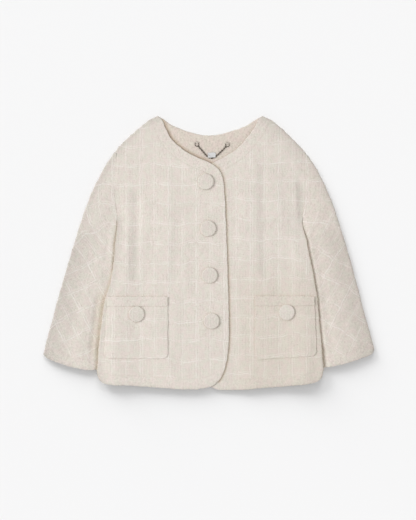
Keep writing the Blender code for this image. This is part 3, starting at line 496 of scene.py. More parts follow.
class Body:
    """The rows and columns of a front or of the back."""

    def __init__(self, top, hem, first, last, shoulders, last_fold, neck, height):
        self.place = patch(top, hem, first, last)
        self.wide, self.deep = hem.length, first.length
        self.underarm = first.corners[1]
        self.shoulders, self.last_fold, self.neck, self.height = shoulders, last_fold, neck, height

    def respace(self, vv, i, count, downs):
        """Spread the rows above the underarm evenly below the last exact one."""
        last, low = vv[count - 1, i], vv[count + downs, i]
        vv[count:count + downs, i] = last + (low - last) * np.arange(1, downs + 1)[:, None] / (downs + 1)

    def skin(self, columns, inside):
        """Places of one skin, as rows of x, y, z."""
        turns = inside + (FOLD - inside) * TURN_SHARES
        count = len(turns)
        near = FREE_INSETS / self.wide
        u = np.concatenate((near, columns, 1 - near[::-1]))
        downs = np.arange(8.0, self.underarm * self.deep - 5, STEP) / self.deep
        sides = np.arange(self.underarm * self.deep + STEP, self.deep - 5.5, STEP) / self.deep
        about = self.underarm - np.array((3.5, 1.75, 0.5, 0)) / self.deep
        v = np.concatenate((FREE_INSETS / self.deep, downs, about, sides, 1 - FREE_INSETS[::-1] / self.deep))
        uu, vv = np.meshgrid(u, v)
        rows, cols = uu.shape
        side = np.where(uu <= 0.5, self.shoulders[0][0], self.shoulders[-1][0])
        to_shoulder, to_side = np.full(uu.shape, np.nan), np.full(uu.shape, np.nan)
        free, sewn = np.full(uu.shape, 9.0), np.zeros(uu.shape)

        # The first rows, along the shoulders' fold and the neck's cut edge
        for which, low, high in self.shoulders:
            i = np.flatnonzero((u >= low - 1e-9) & (u <= high + 1e-9))
            wanted = np.repeat(turns[:, None], len(i), 1)
            vv[:count, i] = solve(lambda t: self.place(uu[:count, i], t), OUTLINE[which], wanted)
            to_shoulder[:count, i] = wanted
            self.respace(vv, i, count, len(downs))
        if self.neck is not None:
            i = np.flatnonzero(np.isnan(to_shoulder[0]))
            wanted = np.repeat(FREE_INSETS[:, None], len(i), 1)
            vv[:count, i] = solve(lambda t: self.place(uu[:count, i], t), self.neck, wanted)
            free[:count, i] = wanted
            self.respace(vv, i, count, len(downs))
        free[-count:] = FREE_INSETS[::-1, None]

        # The outermost columns, along the sides' folds or the front's cut edge
        folded = v >= self.underarm - 1e-9
        ends = ((slice(0, count), 1, self.shoulders[0][0], True),
                (slice(cols - count, cols), -1, self.shoulders[-1][0], self.last_fold))
        for here, way, which, is_fold in ends:
            j = np.flatnonzero(folded) if is_fold else np.arange(rows)
            wanted = np.repeat((turns if is_fold else FREE_INSETS)[::way][None], len(j), 0)
            index = np.ix_(j, np.arange(cols)[here])
            edge = SIDE_FOLD[which] if is_fold else EDGE_LINE[which]
            found = solve(lambda t: self.place(t if way > 0 else 1 - t, vv[index]), edge, wanted)
            uu[index] = found if way > 0 else 1 - found
            if is_fold:
                to_side[index] = wanted
                above = np.ix_(np.flatnonzero(~folded), np.arange(cols)[here])
                sewn[above] = turn(FREE_INSETS[::way], ROUND, 0, ROUND)[None] * SEWN
            else:
                free[index] = np.minimum(free[index], wanted)
        if self.neck is None:
            start, end = uu[:, count - 1], uu[:, cols - count]
            share = (columns - near[-1]) / (1 - 2 * near[-1])
            uu[:, count:-count] = start[:, None] + (end - start)[:, None] * share

        # Heights, with a rounded rim at every cut edge
        xy = self.place(uu, vv)
        z = np.empty(uu.shape)
        for which in set(side.ravel()):
            at = side == which
            outline = np.where(np.isnan(to_shoulder[at]), distance(xy[at], OUTLINE[which]), to_shoulder[at])
            fold = np.where(np.isnan(to_side[at]), distance(xy[at], SIDE_FOLD[which]), to_side[at])
            z[at] = self.height(xy[at], which, outline, fold, inside)
        way = -1 if self.height is body_top else 1
        z += (way if inside == 0 else -way) * np.maximum(turn(free, ROUND, 0, ROUND), sewn)
        return np.dstack((xy, z))


print("a panel can be read from its pattern now")

# %% [markdown]
# ## Painted shade
# The cloth's colour is darkened as painted shade near its outline and folds, above hem and cuffs, over the
# right half and along listed tracks, and lightened as painted light on the left sleeve beside the body. A
# second mark darkens and warms it as painted shade beside edges that lap over it and low on the left front.
# Both are numbers at each point, worked out from the pattern lines and the tracks, which the material
# reads as attributes. A third one marks the plainer bands, a fourth the cloth that shows.

# %% Where shade is painted on the cloth
# Columns: panel, from x and y to x and y, half width, amount of painted shade
SHADE_TRACKS = (
    ("front_right", -142, 108, -141, -36, 9, 0.6), ("front_right", -62, 150, -64, -70, 13, 0.25),
    ("front_right", -56, -60, -57, -190, 9, 0.3), ("front_right", -37, 120, -36, -60, 8, 0.2),
    ("front_left", 95, 160, 97, -30, 8, 0.35), ("front_left", 168, 116, 171, 62, 7, 1.0),
    ("front_left", 132, 150, 134, -40, 7, 0.15), ("front_left", 62, 40, 60, -70, 8, 0.2),
    ("sleeve_right", -212, -96, -222, -190, 5, 0.8), ("sleeve_right", -188, 20, -194, -50, 6, 0.35),
    ("sleeve_left", 196, 30, 206, -120, 7, 0.35), ("sleeve_left", 262, 0, 240, -70, 9, 0.3),
)
ARM_FROM, ARM_OVER = 90.0, 80.0          # a sleeve's painted shade comes in below the shoulder
# Amounts of painted shade: broad within 100 mm of the right half's outline, and on each sleeve
BROAD_PAINTED_SHADE, ARM_PAINTED_SHADE = 0.5, (1.62, 1.45)
FLANK_PAINTED_SHADE = ((1.1, 18), (0.4, 9))       # amount and run of painted shade beside the body's side, on the two halves
# Painted shade at the outline and above hem and cuffs, and painted light on the left sleeve beside the body
OUTLINE_PAINTED_SHADE, LOWER_PAINTED_SHADE, PAINTED_LIGHT_BESIDE_BODY = 0.5, 0.75, 1.1
# Pocket, x at its outer top and outer low corner and inside, y at its top, outer low and inner low corner
POCKETS = (("right", -187.5, -194.5, -76.5, -80.5, -194.5, -195.5),
           ("left", 194, 198.5, 85, -79.6, -190.5, -197))


def fading(d, run):
    """1 at a line, down to 0 at a distance from it."""
    return 1 - ease(d / run)


def painted_shade_by(xy, side, panel):
    """Painted shade: how much darker the cloth is near its outline and folds, hem and cuffs, and on listed
    tracks.
    """
    outline, is_front = distance(xy, OUTLINE[side]), panel.startswith("front")
    arm = ease((ARM_FROM - xy[..., 1]) / ARM_OVER) * (not is_front)
    deep = fading(outline, 26)
    if side == RIGHT:
        deep = np.maximum(deep, BROAD_PAINTED_SHADE * (1 - arm) * fading(outline, 100))
        deep = np.maximum(deep, ARM_PAINTED_SHADE[side] * arm * fading(outline - 8, 48))
    else:
        deep = np.maximum(deep, ARM_PAINTED_SHADE[side] * arm * fading(outline, 72))
    if is_front:
        flank_shade, run = FLANK_PAINTED_SHADE[side]
        deep = np.maximum(deep, flank_shade * fading(distance(xy, SIDE_FOLD[side]), run))
    lower = HEM_LINE[side] if is_front else CUFF_LINE[side]
    deep = deep + OUTLINE_PAINTED_SHADE * fading(outline, 10) + LOWER_PAINTED_SHADE * fading(distance(xy, lower), 6)
    for name, *course, wide, amount in SHADE_TRACKS:
        if name == panel:
            off, ends = track(xy, *course)
            deep = np.maximum(deep, amount * ends * ease((wide + 2 - off) / 4.5))
    # Painted light: the left sleeve is lightened in a band about 7 mm out from the body's side.
    if panel == "sleeve_left":
        deep = deep - PAINTED_LIGHT_BESIDE_BODY * arm * fading(np.abs(distance(xy, SIDE_FOLD[side]) - 7), 9)
    return deep


def painted_falloff_shade(xy, side):
    """Painted shade: the left front's lower half is darkened and warmed, as the light falls off towards the
    lower right.
    """
    return 0.26 * (side == LEFT) * ease((xy[..., 0] - 20) / 60) * ease((20 - xy[..., 1]) / 110)


def painted_warm_shade_by(xy, side, panel):
    """Painted shade, darker and warmer: beside an edge that laps over the cloth, most at the sleeves' lower
    ends, along the right sleeve's pressed fold, and over the left front's lower half.
    """
    low = ease((UNDERARM_Y + 6 - xy[..., 1]) / 12)
    near = distance(xy, SIDE_FOLD[side])
    if panel.startswith("sleeve"):
        deep = np.maximum((0.6, 0.35)[side] * low, ease((FALL_FROM - xy[..., 1]) / FALL_OVER))
        deep = deep * fading(near - 1, 4.5)
        if side == RIGHT:
            streaks = 0.45 * fading(near - 10, 10) + 0.4 * fading(near - 3, 5)
            deep = np.maximum(deep, pressed(xy[..., 1]) * streaks)
        return deep
    deep = 0.7 * low * fading(near, 3)
    if side == LEFT:
        deep = np.maximum(deep, fading(distance(xy, EDGE_LINE[RIGHT]) - 1, 4.5))
    return np.maximum(deep, painted_falloff_shade(xy, side))


def body_marks(xy, side):
    """Plainer cloth on the neck and hem bands, and bare cloth where nothing lies over it."""
    plain = np.maximum(0.85 * fading(distance(xy, NECK_LINE[side]) - NECK_BAND + 4, 6),
                       0.7 * fading(distance(xy, HEM_LINE[side]) - HEM_BAND + 3, 5))
    _, _, x_low, x_inner, y_top, y_low, _ = POCKETS[side]
    x_from, x_to = sorted((x_low, x_inner))
    covered = (xy[..., 0] > x_from + 2) & (xy[..., 0] < x_to - 2)
    covered = covered & (xy[..., 1] < y_top - 2) & (xy[..., 1] > y_low + 4)
    if side == LEFT:
        lap = np.interp(-xy[..., 1], -LINES["edge"][RIGHT].places[:, 1], LINES["edge"][RIGHT].places[:, 0])
        covered = covered | (xy[..., 0] < lap + 1) & (xy[..., 1] < 160)
    panel = ("front_right", "front_left")[side]
    # The 'turned' mark and the warm mark after it are painted shade.
    return {"plain": plain, "bare": np.where(covered, 0.0, 1.0), "turned": painted_shade_by(xy, side, panel),
            "creased": painted_warm_shade_by(xy, side, panel)}


# The number of tracks of painted shade.
print("tracks of leaning nap:", len(SHADE_TRACKS))

# %% [markdown]
# ## Fronts and back
# The body is cut on the straight grain, so its weave runs as x and y do. Each front is shifted until its
# checks fall where the jacket has them. The back has two shoulders and the neck between them.

# %% The body's panels
GRAIN = {"front_right": (-74.9, 162.0), "front_left": (77.0, 133.0), "back": (0.0, 0.0)}
pieces = {}


def lay(name, body, columns, marks):
    outer, inner = body.skin(columns, 0.0), body.skin(columns, TWEED)
    pieces[name] = wall(name + "_cloth", warped(outer), warped(inner), outer[..., :2] - GRAIN[name],
                        marks=marks(outer[..., :2]))


first = [Joined(LINES["armhole"][side], LINES["side"][side]) for side in SIDES]
for side, name in ((RIGHT, "front_right"), (LEFT, "front_left")):
    last = Joined(LINES["neck"][side], LINES["edge"][side])
    body = Body(LINES["shoulder"][side], LINES["hem"][side], first[side], last, [(side, 0.0, 1.0)], False, None,
                body_top)
    lay(name, body, np.linspace(5.5 / 240, 1 - 5.5 / 240, 76), lambda xy: body_marks(xy, side))

last = Joined(LINES["armhole"][LEFT], LINES["side"][LEFT], like=first[RIGHT])
top = Joined(LINES["shoulder"][RIGHT], NECK_BACK_LINE, Line(half(SHOULDER, LEFT)[::-1]))
a, b = top.corners[1:3]
body = Body(top, HEM_BACK_LINE, first[RIGHT], last, [(RIGHT, 0.0, a), (LEFT, b, 1.0)], True,
            polyline(NECK_BACK_LINE), body_bottom)
near = 6 / top.length
columns = np.concatenate((np.linspace(0.016, a, 20), np.linspace(a + near, b - near, 56),
                          np.linspace(b, 0.984, 20)))
lay("back", body, columns, lambda xy: {"plain": 0, "bare": 0})
print("faces:", {name: len(item.data.polygons) for name, item in pieces.items()})

# %% [markdown]
# ## Sleeves
# A sleeve is one tube, pressed flat, whose grain turns with the arm: straight at the shoulder, then
# about 27 degrees off, so that the checks climb towards the body on both sides. At the armhole it starts
# on the body's own line, moved out by the width of the sewn seam.

# %% The two sleeves
SLEEVE_TURN, TURN_FROM, TURN_OVER = 27.0, 110.0, 130.0
PIVOT = (175.0, 120.0)
MEET = ((-100.1, -42.0), (98.0, -13.0))    # so that its checks meet the fronts' at the armhole
CLOSED = 0.04                              # space of the sewn armhole seam


def sleeve_angle(xyz):
    return np.radians(SLEEVE_TURN) * ease((TURN_FROM - xyz[..., 1]) / TURN_OVER)


def sleeve_grain(xyz, side):
    way = 1 if side == LEFT else -1
    x, y = way * xyz[..., 0] - PIVOT[0], xyz[..., 1] - PIVOT[1]
    a = sleeve_angle(xyz)
    return np.dstack((way * (x * np.cos(a) - y * np.sin(a)), x * np.sin(a) + y * np.cos(a))) + MEET[side]


def sleeve_way(xyz, side):
    """The direction of the crosswise threads."""
    a = sleeve_angle(xyz)
    return np.dstack((np.cos(a), (1 if side == RIGHT else -1) * np.sin(a), 0 * a))


def sideways(places):
    """Unit steps across a line."""
    along = np.gradient(places, axis=0)
    along /= np.linalg.norm(along, axis=1)[:, None]
    return np.stack((along[:, 1], -along[:, 0]), 1)


def armhole_beside(side):
    """The armhole moved outwards by the seam's space, and by more at its ends."""
    moved, line = Line(half(ARMHOLE, side)), LINES["armhole"][side]
    end = 1 - ease(np.minimum(line.shares, 1 - line.shares) * line.length / 15)
    space = CLOSED + (SEAM + 0.6 - CLOSED) * end
    moved.places = line.places + (1 if side == RIGHT else -1) * space[:, None] * sideways(line.places)
    return moved


for side, name in ((RIGHT, "sleeve_right"), (LEFT, "sleeve_left")):
    armhole = armhole_beside(side)
    outer_line = Line([armhole.at(0.0), *half(SLEEVE_OUTER, side)[1:]])
    inner_line = Line([armhole.at(1.0), *half(SLEEVE_INNER, side)[1:]])
    place = patch(armhole, LINES["cuff"][side], outer_line, inner_line)
    edges = [polyline(outer_line), polyline(inner_line)]
    long = outer_line.length
    s = np.concatenate((FREE_INSETS[:6] / long, np.arange(5, long - 5, STEP) / long,
                        1 - FREE_INSETS[::-1] / long))
    free = np.concatenate((FREE_INSETS[:6], np.full(len(s) - 13, 9.0), FREE_INSETS[::-1]))
    rim = turn(free, ROUND, 0, ROUND)[:, None]
    rim[:6] *= SEWN

    def skin(inside):
        """The tube's columns: over its top from the outer fold to the inner one, and back beneath."""
        turns = inside + (FOLD - inside) * TURN_SHARES
        wanted = np.repeat(turns[None], len(s), 0)
        ss = np.repeat(s[:, None], len(turns), 1)
        near = solve(lambda t: place(t, ss), edges[0], wanted)
        far = solve(lambda t: place(1 - t, ss), edges[1], wanted)
        start, wide = near[:, -1:], 1 - far[:, -1:] - near[:, -1:]
        upper = np.concatenate((near, start + wide * np.linspace(0, 1, 40)[1:-1], 1 - far[:, ::-1]), 1)
        lower = np.concatenate((1 - far[:, 1:], start + wide * np.linspace(1, 0, 16)[1:-1], near[:, :0:-1]), 1)
        parts = []
        for t, height, up in ((upper, sleeve_top, 1), (lower, sleeve_bottom, -1)):
            xy = place(t, np.repeat(s[:, None], t.shape[1], 1))
            outer, inner = distance(xy, edges[0]), distance(xy, edges[1])
            z = height(xy, side, outer, inner, inside) - up * (1 if inside == 0 else -1) * rim
            parts.append(np.dstack((xy, z)))
        return np.concatenate(parts, 1)

    outer, inner = skin(0.0), skin(TWEED)
    xy = outer[..., :2]
    # The 'turned' mark and the warm mark after it are painted shade.
    marks = {"plain": 0.7 * fading(distance(xy, CUFF_LINE[side]) - HEM_BAND + 3, 5),
             "bare": ~under_body(xy, side, wider=1) & (outer[..., 2] > 3.6),
             "turned": painted_shade_by(xy, side, name), "creased": painted_warm_shade_by(xy, side, name)}
    pieces[name] = wall(name + "_cloth", warped(outer), warped(inner), sleeve_grain(outer, side), ring=True,
                        way=sleeve_way(outer, side), marks=marks)
print("faces of a sleeve:", len(pieces["sleeve_left"].data.polygons))

# %% [markdown]
# ## Facing, pockets and bands
# The small pieces are pillows: a grid of places with a lower height and a thickness that is rounded off
# at the rim. The neck facing lies on the back, each patch pocket repeats its front's surface a little
# higher, and a folded band closes its top.

# %% The small cloth pieces
FACING, POCKET, BAND = 1.6, 1.5, 1.1
FACING_X, FACING_LOW, FACING_BOW = (-88.0, 91.0), 156.0, 58.0
POCKET_PUFF, BAND_PUFF = 0.2, 0.4
POCKET_CORNER, POCKET_WIDE, BAND_DEEP = 10.0, 112.0, 18.0


def pillow(name, xy, base, thick, grain, creased=0.0):
    """A closed wall over a grid of places whose rim is rounded: base is its lower height."""
    rows, columns = xy.shape[:2]
    down, over = (np.linalg.norm(np.diff(xy, axis=k), axis=-1) for k in (0, 1))
    down = np.vstack((np.zeros((1, columns)), np.cumsum(down, 0)))
    over = np.hstack((np.zeros((rows, 1)), np.cumsum(over, 1)))
    edge = np.minimum(np.minimum(down, down[-1] - down), np.minimum(over, over[:, -1:] - over))
    rim = turn(edge, thick / 2, 0, thick / 2)
    outer, inner = np.dstack((xy, base + thick - rim)), np.dstack((xy, base + rim))
    # The last argument is an amount of warm painted shade, handed on as a mark.
    return wall(name, warped(outer), warped(inner), grain,
                marks={"plain": 0, "bare": edge > 1, "creased": creased})


neck = polyline(NECK_BACK_LINE)
xs = np.concatenate((FACING_X[0] + FREE_INSETS, np.linspace(-83, 86, 66), FACING_X[1] - FREE_INSETS[::-1]))
top_y = np.interp(xs, neck[:, 0], neck[:, 1]) - 1.5
run = (top_y - FACING_LOW - FACING_BOW * (xs / 85) ** 2)[None]
downs = np.concatenate((np.array((0, 0.12, 0.4, 0.8, 1.5, 2.4))[:, None] / run, np.linspace(4 / run[0], 1, 26)))
xy = np.dstack((np.repeat(xs[None], len(downs), 0), top_y - downs * run))
# Painted shade, darker and warmer, on the facing beside the right front's neck edge, faintly beside the left's.
deep = np.maximum(fading(distance(xy, NECK_LINE[RIGHT]) - 1, 7), 0.1 * fading(distance(xy, NECK_LINE[LEFT]), 5))
pieces["back_neck_facing"] = pillow("back_neck_facing_cloth", xy, TWEED + SEAM + 0.1 * LUMPS(xy), FACING,
                                    xy - (12.0, 18.0), creased=deep)


def pocket_grid(row, levels, columns):
    """Places of a pocket at some depths below its top, narrower where its lower corners are round."""
    _, outer_top, outer_low, inner, y_top, y_low_outer, y_low_inner = row
    deep = y_top - (y_low_outer + y_low_inner) / 2
    share, into_corner = levels / deep, np.clip(POCKET_CORNER - deep + levels, 0, POCKET_CORNER)
    inset = POCKET_CORNER - np.sqrt(POCKET_CORNER ** 2 - into_corner ** 2)
    inset = math.copysign(1.0, outer_top - inner) * inset
    low, high = inner + inset, outer_top + share * (outer_low - outer_top) - inset
    x = low[:, None] + (high - low)[:, None] * columns
    y = y_top + share[:, None] * (y_low_inner + columns * (y_low_outer - y_low_inner) - y_top)
    return np.dstack((x, y))


for side, row in enumerate(POCKETS):
    deep = row[4] - (row[5] + row[6]) / 2
    ends = np.array((0, 0.134, 0.5, 1.0, 1.7, 2.6))
    corner = deep - POCKET_CORNER * (1 - np.sin(np.radians(np.linspace(0, 90, 14)[1:])))
    levels = np.concatenate((ends, np.linspace(4, deep - POCKET_CORNER, 34), corner))
    columns = np.concatenate((ends, np.linspace(4, POCKET_WIDE - 4, 38), POCKET_WIDE - ends[::-1]))
    columns = columns / POCKET_WIDE
    xy = pocket_grid(row, levels, columns)
    puff = POCKET_PUFF * ease(np.minimum(columns, 1 - columns) / 0.12)[None]
    puff = puff * ease((deep - levels) / 12)[:, None]
    name = "pocket_" + row[0]
    grain = xy - np.array(GRAIN["front_" + row[0]]) - (0.8, 1.5)
    # Painted shade: the pocket is darkened and warmed with the left front's lower half.
    pieces[name] = pillow(name + "_cloth", xy, body_top(xy, side) + SEAM, POCKET + puff, grain,
                          creased=painted_falloff_shade(xy, side))
    rim = np.array((0, 0.107, 0.4, 0.8, 1.5))
    levels = np.concatenate((rim, np.linspace(2.5, BAND_DEEP - 2.5, 8), BAND_DEEP - rim[::-1]))
    xy = pocket_grid(row, levels, columns)
    name = "pocket_band_" + row[0]
    # The band gets the same painted shade.
    pieces[name] = pillow(name + "_cloth", xy, body_top(xy, side) + 2 * SEAM + POCKET,
                          BAND + BAND_PUFF * np.sin(np.pi * levels / BAND_DEEP)[:, None],
                          xy[..., ::-1] * (1, -1) + (9.0, 31.0), creased=painted_falloff_shade(xy, side))
print("faces of a pocket:", len(pieces["pocket_left"].data.polygons))

# %% [markdown]
# ## Covered buttons
# A covered button is a domed metal shell with a disc of the jacket's own tweed drawn over it. The cloth
# gathers into small pleats round the back and sits softly over the rim. A ring of points is easiest:
# each ring of the profile gets its own unevenness, and each button another one.

# %% Six covered buttons
BUTTONS = (
    ("button_1", "front_right", -6.3, 131.7), ("button_2", "front_right", -2.0, 45.3),
    ("button_3", "front_right", 0.7, -41.3), ("button_4", "front_right", 4.4, -125.8),
    ("pocket_button_right", "pocket_right", -134.5, -113.0),
    ("pocket_button_left", "pocket_left", 144.0, -109.5))
BUTTON_RADIUS = 14.8
# Columns: share of the radius, height, share of the pleats
BUTTON_PROFILE = np.array((
    (0.00, 5.62, 0), (0.12, 5.62, 0), (0.25, 5.6, 0), (0.38, 5.56, 0), (0.50, 5.5, 0), (0.61, 5.43, 0),
    (0.70, 5.38, 0), (0.76, 5.36, 0), (0.81, 5.4, 0), (0.86, 5.44, 0), (0.905, 5.32, 0), (0.945, 4.95, 0.1),
    (0.975, 4.3, 0.2), (0.993, 3.6, 0.3), (1.0, 2.9, 0.4), (0.995, 2.2, 0.6), (0.975, 1.6, 0.8),
    (0.93, 1.2, 1), (0.85, 1.0, 1), (0.7, 0.95, 1), (0.5, 1.0, 0.8), (0.3, 1.0, 0.3), (0.17, 0.98, 0),
    (0.14, 0.8, 0), (0.12, 0.5, 0), (0.14, 0.25, 0), (0.19, 0.05, 0), (0.1, 0.0, 0), (0.0, 0.0, 0)))
AROUND, FLATTER = 96, 0.8
PLEATS, PLEAT_DEEP, OUT_OF_ROUND, BUTTON_LUMPS = 26, 0.25, 0.006, 0.09


def button(name, carrier, x, y, seed):
    side = LEFT if carrier.endswith("left") else RIGHT
    above = 2 * SEAM + POCKET if carrier.startswith("pocket") else SEAM
    z, east, west, north, south = body_top(
        np.array(((x, y), (x + 6, y), (x - 6, y), (x, y + 6), (x, y - 6))), side)
    normal = Vector(((west - east) / 12, (south - north) / 12, 1.0)).normalized()
    angle = np.linspace(0, 2 * np.pi, AROUND, endpoint=False)[None]
    share, height, pleat = BUTTON_PROFILE.T[..., None]
    radius = share * BUTTON_RADIUS * (1 + OUT_OF_ROUND * np.sin(3 * angle + seed))
    radius = radius - PLEAT_DEEP * pleat * (0.5 + 0.5 * np.sin(PLEATS * angle + 2 * np.sin(3 * angle)))
    flat = np.dstack((radius * np.cos(angle), radius * np.sin(angle)))
    lumps = spectrum(seed, 4, 12)(flat)
    rows = np.dstack((flat, FLATTER * height + BUTTON_LUMPS * lumps * ease(share / 0.1) * (height > 1.1)))
    turned = Vector((0, 0, 1)).rotation_difference(normal).to_matrix()
    spun = np.radians(np.random.default_rng(seed).uniform(-8, 8))
    grain = flat @ np.array(((np.cos(spun), -np.sin(spun)), (np.sin(spun), np.cos(spun))))
    places = rows @ np.array(turned).T + np.array((x, y, z)) + above * np.array(normal)
    work = bmesh.new()
    layer = work.loops.layers.uv.new("grain")
    rings = [[work.verts.new(p) for p in ring] for ring in places * MM]
    around = {vert: (grain[j, i] + (13 + 4 * seed, 11 + 3 * seed)) * MM
              for j, ring in enumerate(rings) for i, vert in enumerate(ring)}
    for upper, lower in zip(rings, rings[1:]):
        for i in range(AROUND):
            k = (i + 1) % AROUND
            work.faces.new((upper[i], lower[i], lower[k], upper[k]))
    for face in work.faces:
        for loop in face.loops:
            loop[layer].uv = around[loop.vert]
    return placed_mesh(name + "_covered", work, merge=0.00001)


for seed, (name, carrier, x, y) in enumerate(BUTTONS, 1):
    pieces[name] = button(name, carrier, x, y, seed)
print("buttons:", len(BUTTONS), "of", len(pieces["button_1"].data.polygons), "faces")

# %% [markdown]
# ## Wiring nodes
# Stitches, chain links and the little loops of a bouclé yarn are one small shape repeated along a line
# or over a surface, so Geometry Nodes place them, and shader nodes weave the cloth. One small helper
# wires any node: a socket given as an input is linked, anything else becomes its value.


# %% Short names for nodes
def node(tree, kind, inputs=None, **settings):
    made = tree.nodes.new(kind)
    for key, value in settings.items():
        setattr(made, key, value)
    for key, value in (inputs or {}).items():
        if isinstance(value, bpy.types.NodeSocket):
            tree.links.new(value, made.inputs[key])
        else:
            made.inputs[key].default_value = value
    return made


class Wiring:
    """Short names for the nodes of one tree."""

    def __init__(self, tree):
        self.tree = tree

    def out(self, kind, inputs=None, output=0, **settings):
        return node(self.tree, kind, inputs, **settings).outputs[output]

    def do(self, operation, a, b=0.0, c=0.0):
        return self.out("ShaderNodeMath", {0: a, 1: b, 2: c}, operation=operation)

    def noise(self, u, v, scale_u, scale_v, detail=1.0, offset=0.0):
        """Noise from 0 to 1 whose patches are about 1/scale millimetres wide."""
        at = self.out("ShaderNodeCombineXYZ",
                      {0: self.do("MULTIPLY_ADD", u, scale_u, offset), 1: self.do("MULTIPLY", v, scale_v)})
        return self.out("ShaderNodeTexNoise", {"Vector": at, "Scale": 1.0, "Detail": detail}, "Fac",
                        noise_dimensions="2D")

    def grit(self, scale, detail=2.0):
        """Noise from 0 to 1 all through the piece."""
        where = self.out("ShaderNodeTexCoord", output="Object")
        return self.out("ShaderNodeTexNoise", {"Vector": where, "Scale": scale, "Detail": detail}, "Fac")

    def mark(self, name):
        return self.out("ShaderNodeAttribute", output="Fac", attribute_name=name)

    def between(self, value, low, high, out_low=0.0, out_high=1.0):
        return self.out("ShaderNodeMapRange", {0: value, 1: low, 2: high, 3: out_low, 4: out_high},
                        interpolation_type="SMOOTHSTEP")

    def mix(self, share, first, second):
        first, second = ((*c, 1) if isinstance(c, tuple) else c for c in (first, second))
        return self.out("ShaderNodeMix", {0: share, 6: first, 7: second}, 2, data_type="RGBA")

    def scaled(self, colour, share):
        return self.out("ShaderNodeVectorMath", {0: colour, "Scale": share}, operation="SCALE")

    def relief(self, shader, height, strength, reach):
        bump = self.out("ShaderNodeBump", {"Height": height, "Strength": strength, "Distance": reach})
        self.tree.links.new(bump, shader.inputs["Normal"])


print("helpers:", [name for name in vars(Wiring) if name[0] != "_"])

# %% [markdown]
# ## Growing small parts
# Each tree takes a mesh and named sizes. Its result is turned into a plain mesh straight away, because
# the parts have to be ordinary faces when the model leaves Blender.


# %% Helpers for geometry trees
def new_tree(name, sizes):
    """A geometry tree with a mesh in and out and named inputs for its sizes and its material."""
    tree = bpy.data.node_groups.new(name, "GeometryNodeTree")
    tree.interface.new_socket("Geometry", in_out="OUTPUT", socket_type="NodeSocketGeometry")
    tree.interface.new_socket("Geometry", in_out="INPUT", socket_type="NodeSocketGeometry")
    for label, value in sizes.items():
        kind = "NodeSocketInt" if isinstance(value, int) else "NodeSocketFloat"
        tree.interface.new_socket(label, in_out="INPUT", socket_type=kind).default_value = value
    tree.interface.new_socket("Material", in_out="INPUT", socket_type="NodeSocketMaterial")
    return Wiring(tree), tree.nodes.new("NodeGroupInput").outputs


def finish_tree(w, instances, material):
    real = w.out("GeometryNodeRealizeInstances", {0: instances})
    smooth = w.out("GeometryNodeSetShadeSmooth", {0: real})
    dressed = w.out("GeometryNodeSetMaterial", {"Geometry": smooth, "Material": material})
    node(w.tree, "NodeGroupOutput", {0: dressed})
    return w.tree


def grown(name, source, tree, material, **sizes):
    """The tree's result on a source object, as a plain mesh of its own."""
    work = bpy.data.objects.new(name + "_work", source)
    bpy.context.scene.collection.objects.link(work)
    modifier = work.modifiers.new("nodes", "NODES")
    modifier.node_group = tree
    sockets = {item.name: item.identifier for item in tree.interface.items_tree if item.in_out == "INPUT"}
    modifier[sockets["Material"]] = material
    for label, value in sizes.items():
        modifier[sockets[label]] = value
    bpy.context.view_layer.update()
    shown = work.evaluated_get(bpy.context.evaluated_depsgraph_get())
    mesh = bpy.data.meshes.new_from_object(shown)
    work.modifiers.clear()
    bpy.data.objects.remove(work)
    item = bpy.data.objects.new(name, mesh)
    bpy.context.scene.collection.objects.link(item)
    return item


def trail(name, runs):
    """Lines of places in millimetres as a mesh of edges."""
    points, edges = [], []
    for run in runs:
        edges += [(len(points) + i, len(points) + i + 1) for i in range(len(run) - 1)]
        points += [tuple(p) for p in np.asarray(run) * MM]
    mesh = bpy.data.meshes.new(name)
    mesh.from_pydata(points, edges, [])
    return mesh


def along_line(w, geometry, step):
    """Points a step apart along the lines, and the rotation that lays a part along them, its top up."""
    curve = w.out("GeometryNodeMeshToCurve", {0: geometry})
    spaced = w.out("GeometryNodeResampleCurve", {"Curve": curve, "Length": step}, mode="LENGTH")
    tangent = w.out("GeometryNodeInputTangent")
    forward = w.out("FunctionNodeAlignRotationToVector", {"Vector": tangent}, axis="X")
    return spaced, w.out("FunctionNodeAlignRotationToVector", {"Rotation": forward, "Vector": (0, 0, 1)},
                         axis="Z", pivot_axis="X")


def bow(w, length, rise, thick, steps):
    """A short bowed thread, lying along X."""
    start, end = (w.out("ShaderNodeCombineXYZ", {"X": w.do("MULTIPLY", length, share)})
                  for share in (-0.5, 0.5))
    crown = w.out("ShaderNodeCombineXYZ", {"Z": rise})
    arc = w.out("GeometryNodeCurveQuadraticBezier",
                {"Resolution": steps, "Start": start, "Middle": crown, "End": end})
    ring = w.out("GeometryNodeCurvePrimitiveCircle", {"Resolution": 5, "Radius": thick})
    return w.out("GeometryNodeCurveToMesh", {"Curve": arc, "Profile Curve": ring})


def rolled(w, rotation, axis, angle):
    roll = w.out("FunctionNodeAxisAngleToRotation", {"Axis": axis, "Angle": angle})
    return w.out("FunctionNodeRotateRotation", {0: rotation, 1: roll}, rotation_space="LOCAL")


def repeated(w, points, part, rotation, **more):
    return w.out("GeometryNodeInstanceOnPoints",
                 {"Points": points, "Instance": part, "Rotation": rotation, **more})


print("helpers for trees are ready")

# %% [markdown]
# ## The three trees
# A stitch is a short bowed piece of thread laid along the line. A chain link is a stretched ring, and
# every second one is rolled by a quarter turn. A loop is a bowed piece of yarn that lies on the cloth,
# along or across the threads, a little askew.

# %% Stitches, links and loops
w, inputs = new_tree("stitches", {"Step": 0.0034, "Length": 0.0028, "Rise": 0.0004, "Thickness": 0.00026})
spaced, facing_way = along_line(w, inputs["Geometry"], inputs["Step"])
thread = bow(w, inputs["Length"], inputs["Rise"], inputs["Thickness"], 4)
stitch_tree = finish_tree(w, repeated(w, spaced, thread, facing_way), inputs["Material"])

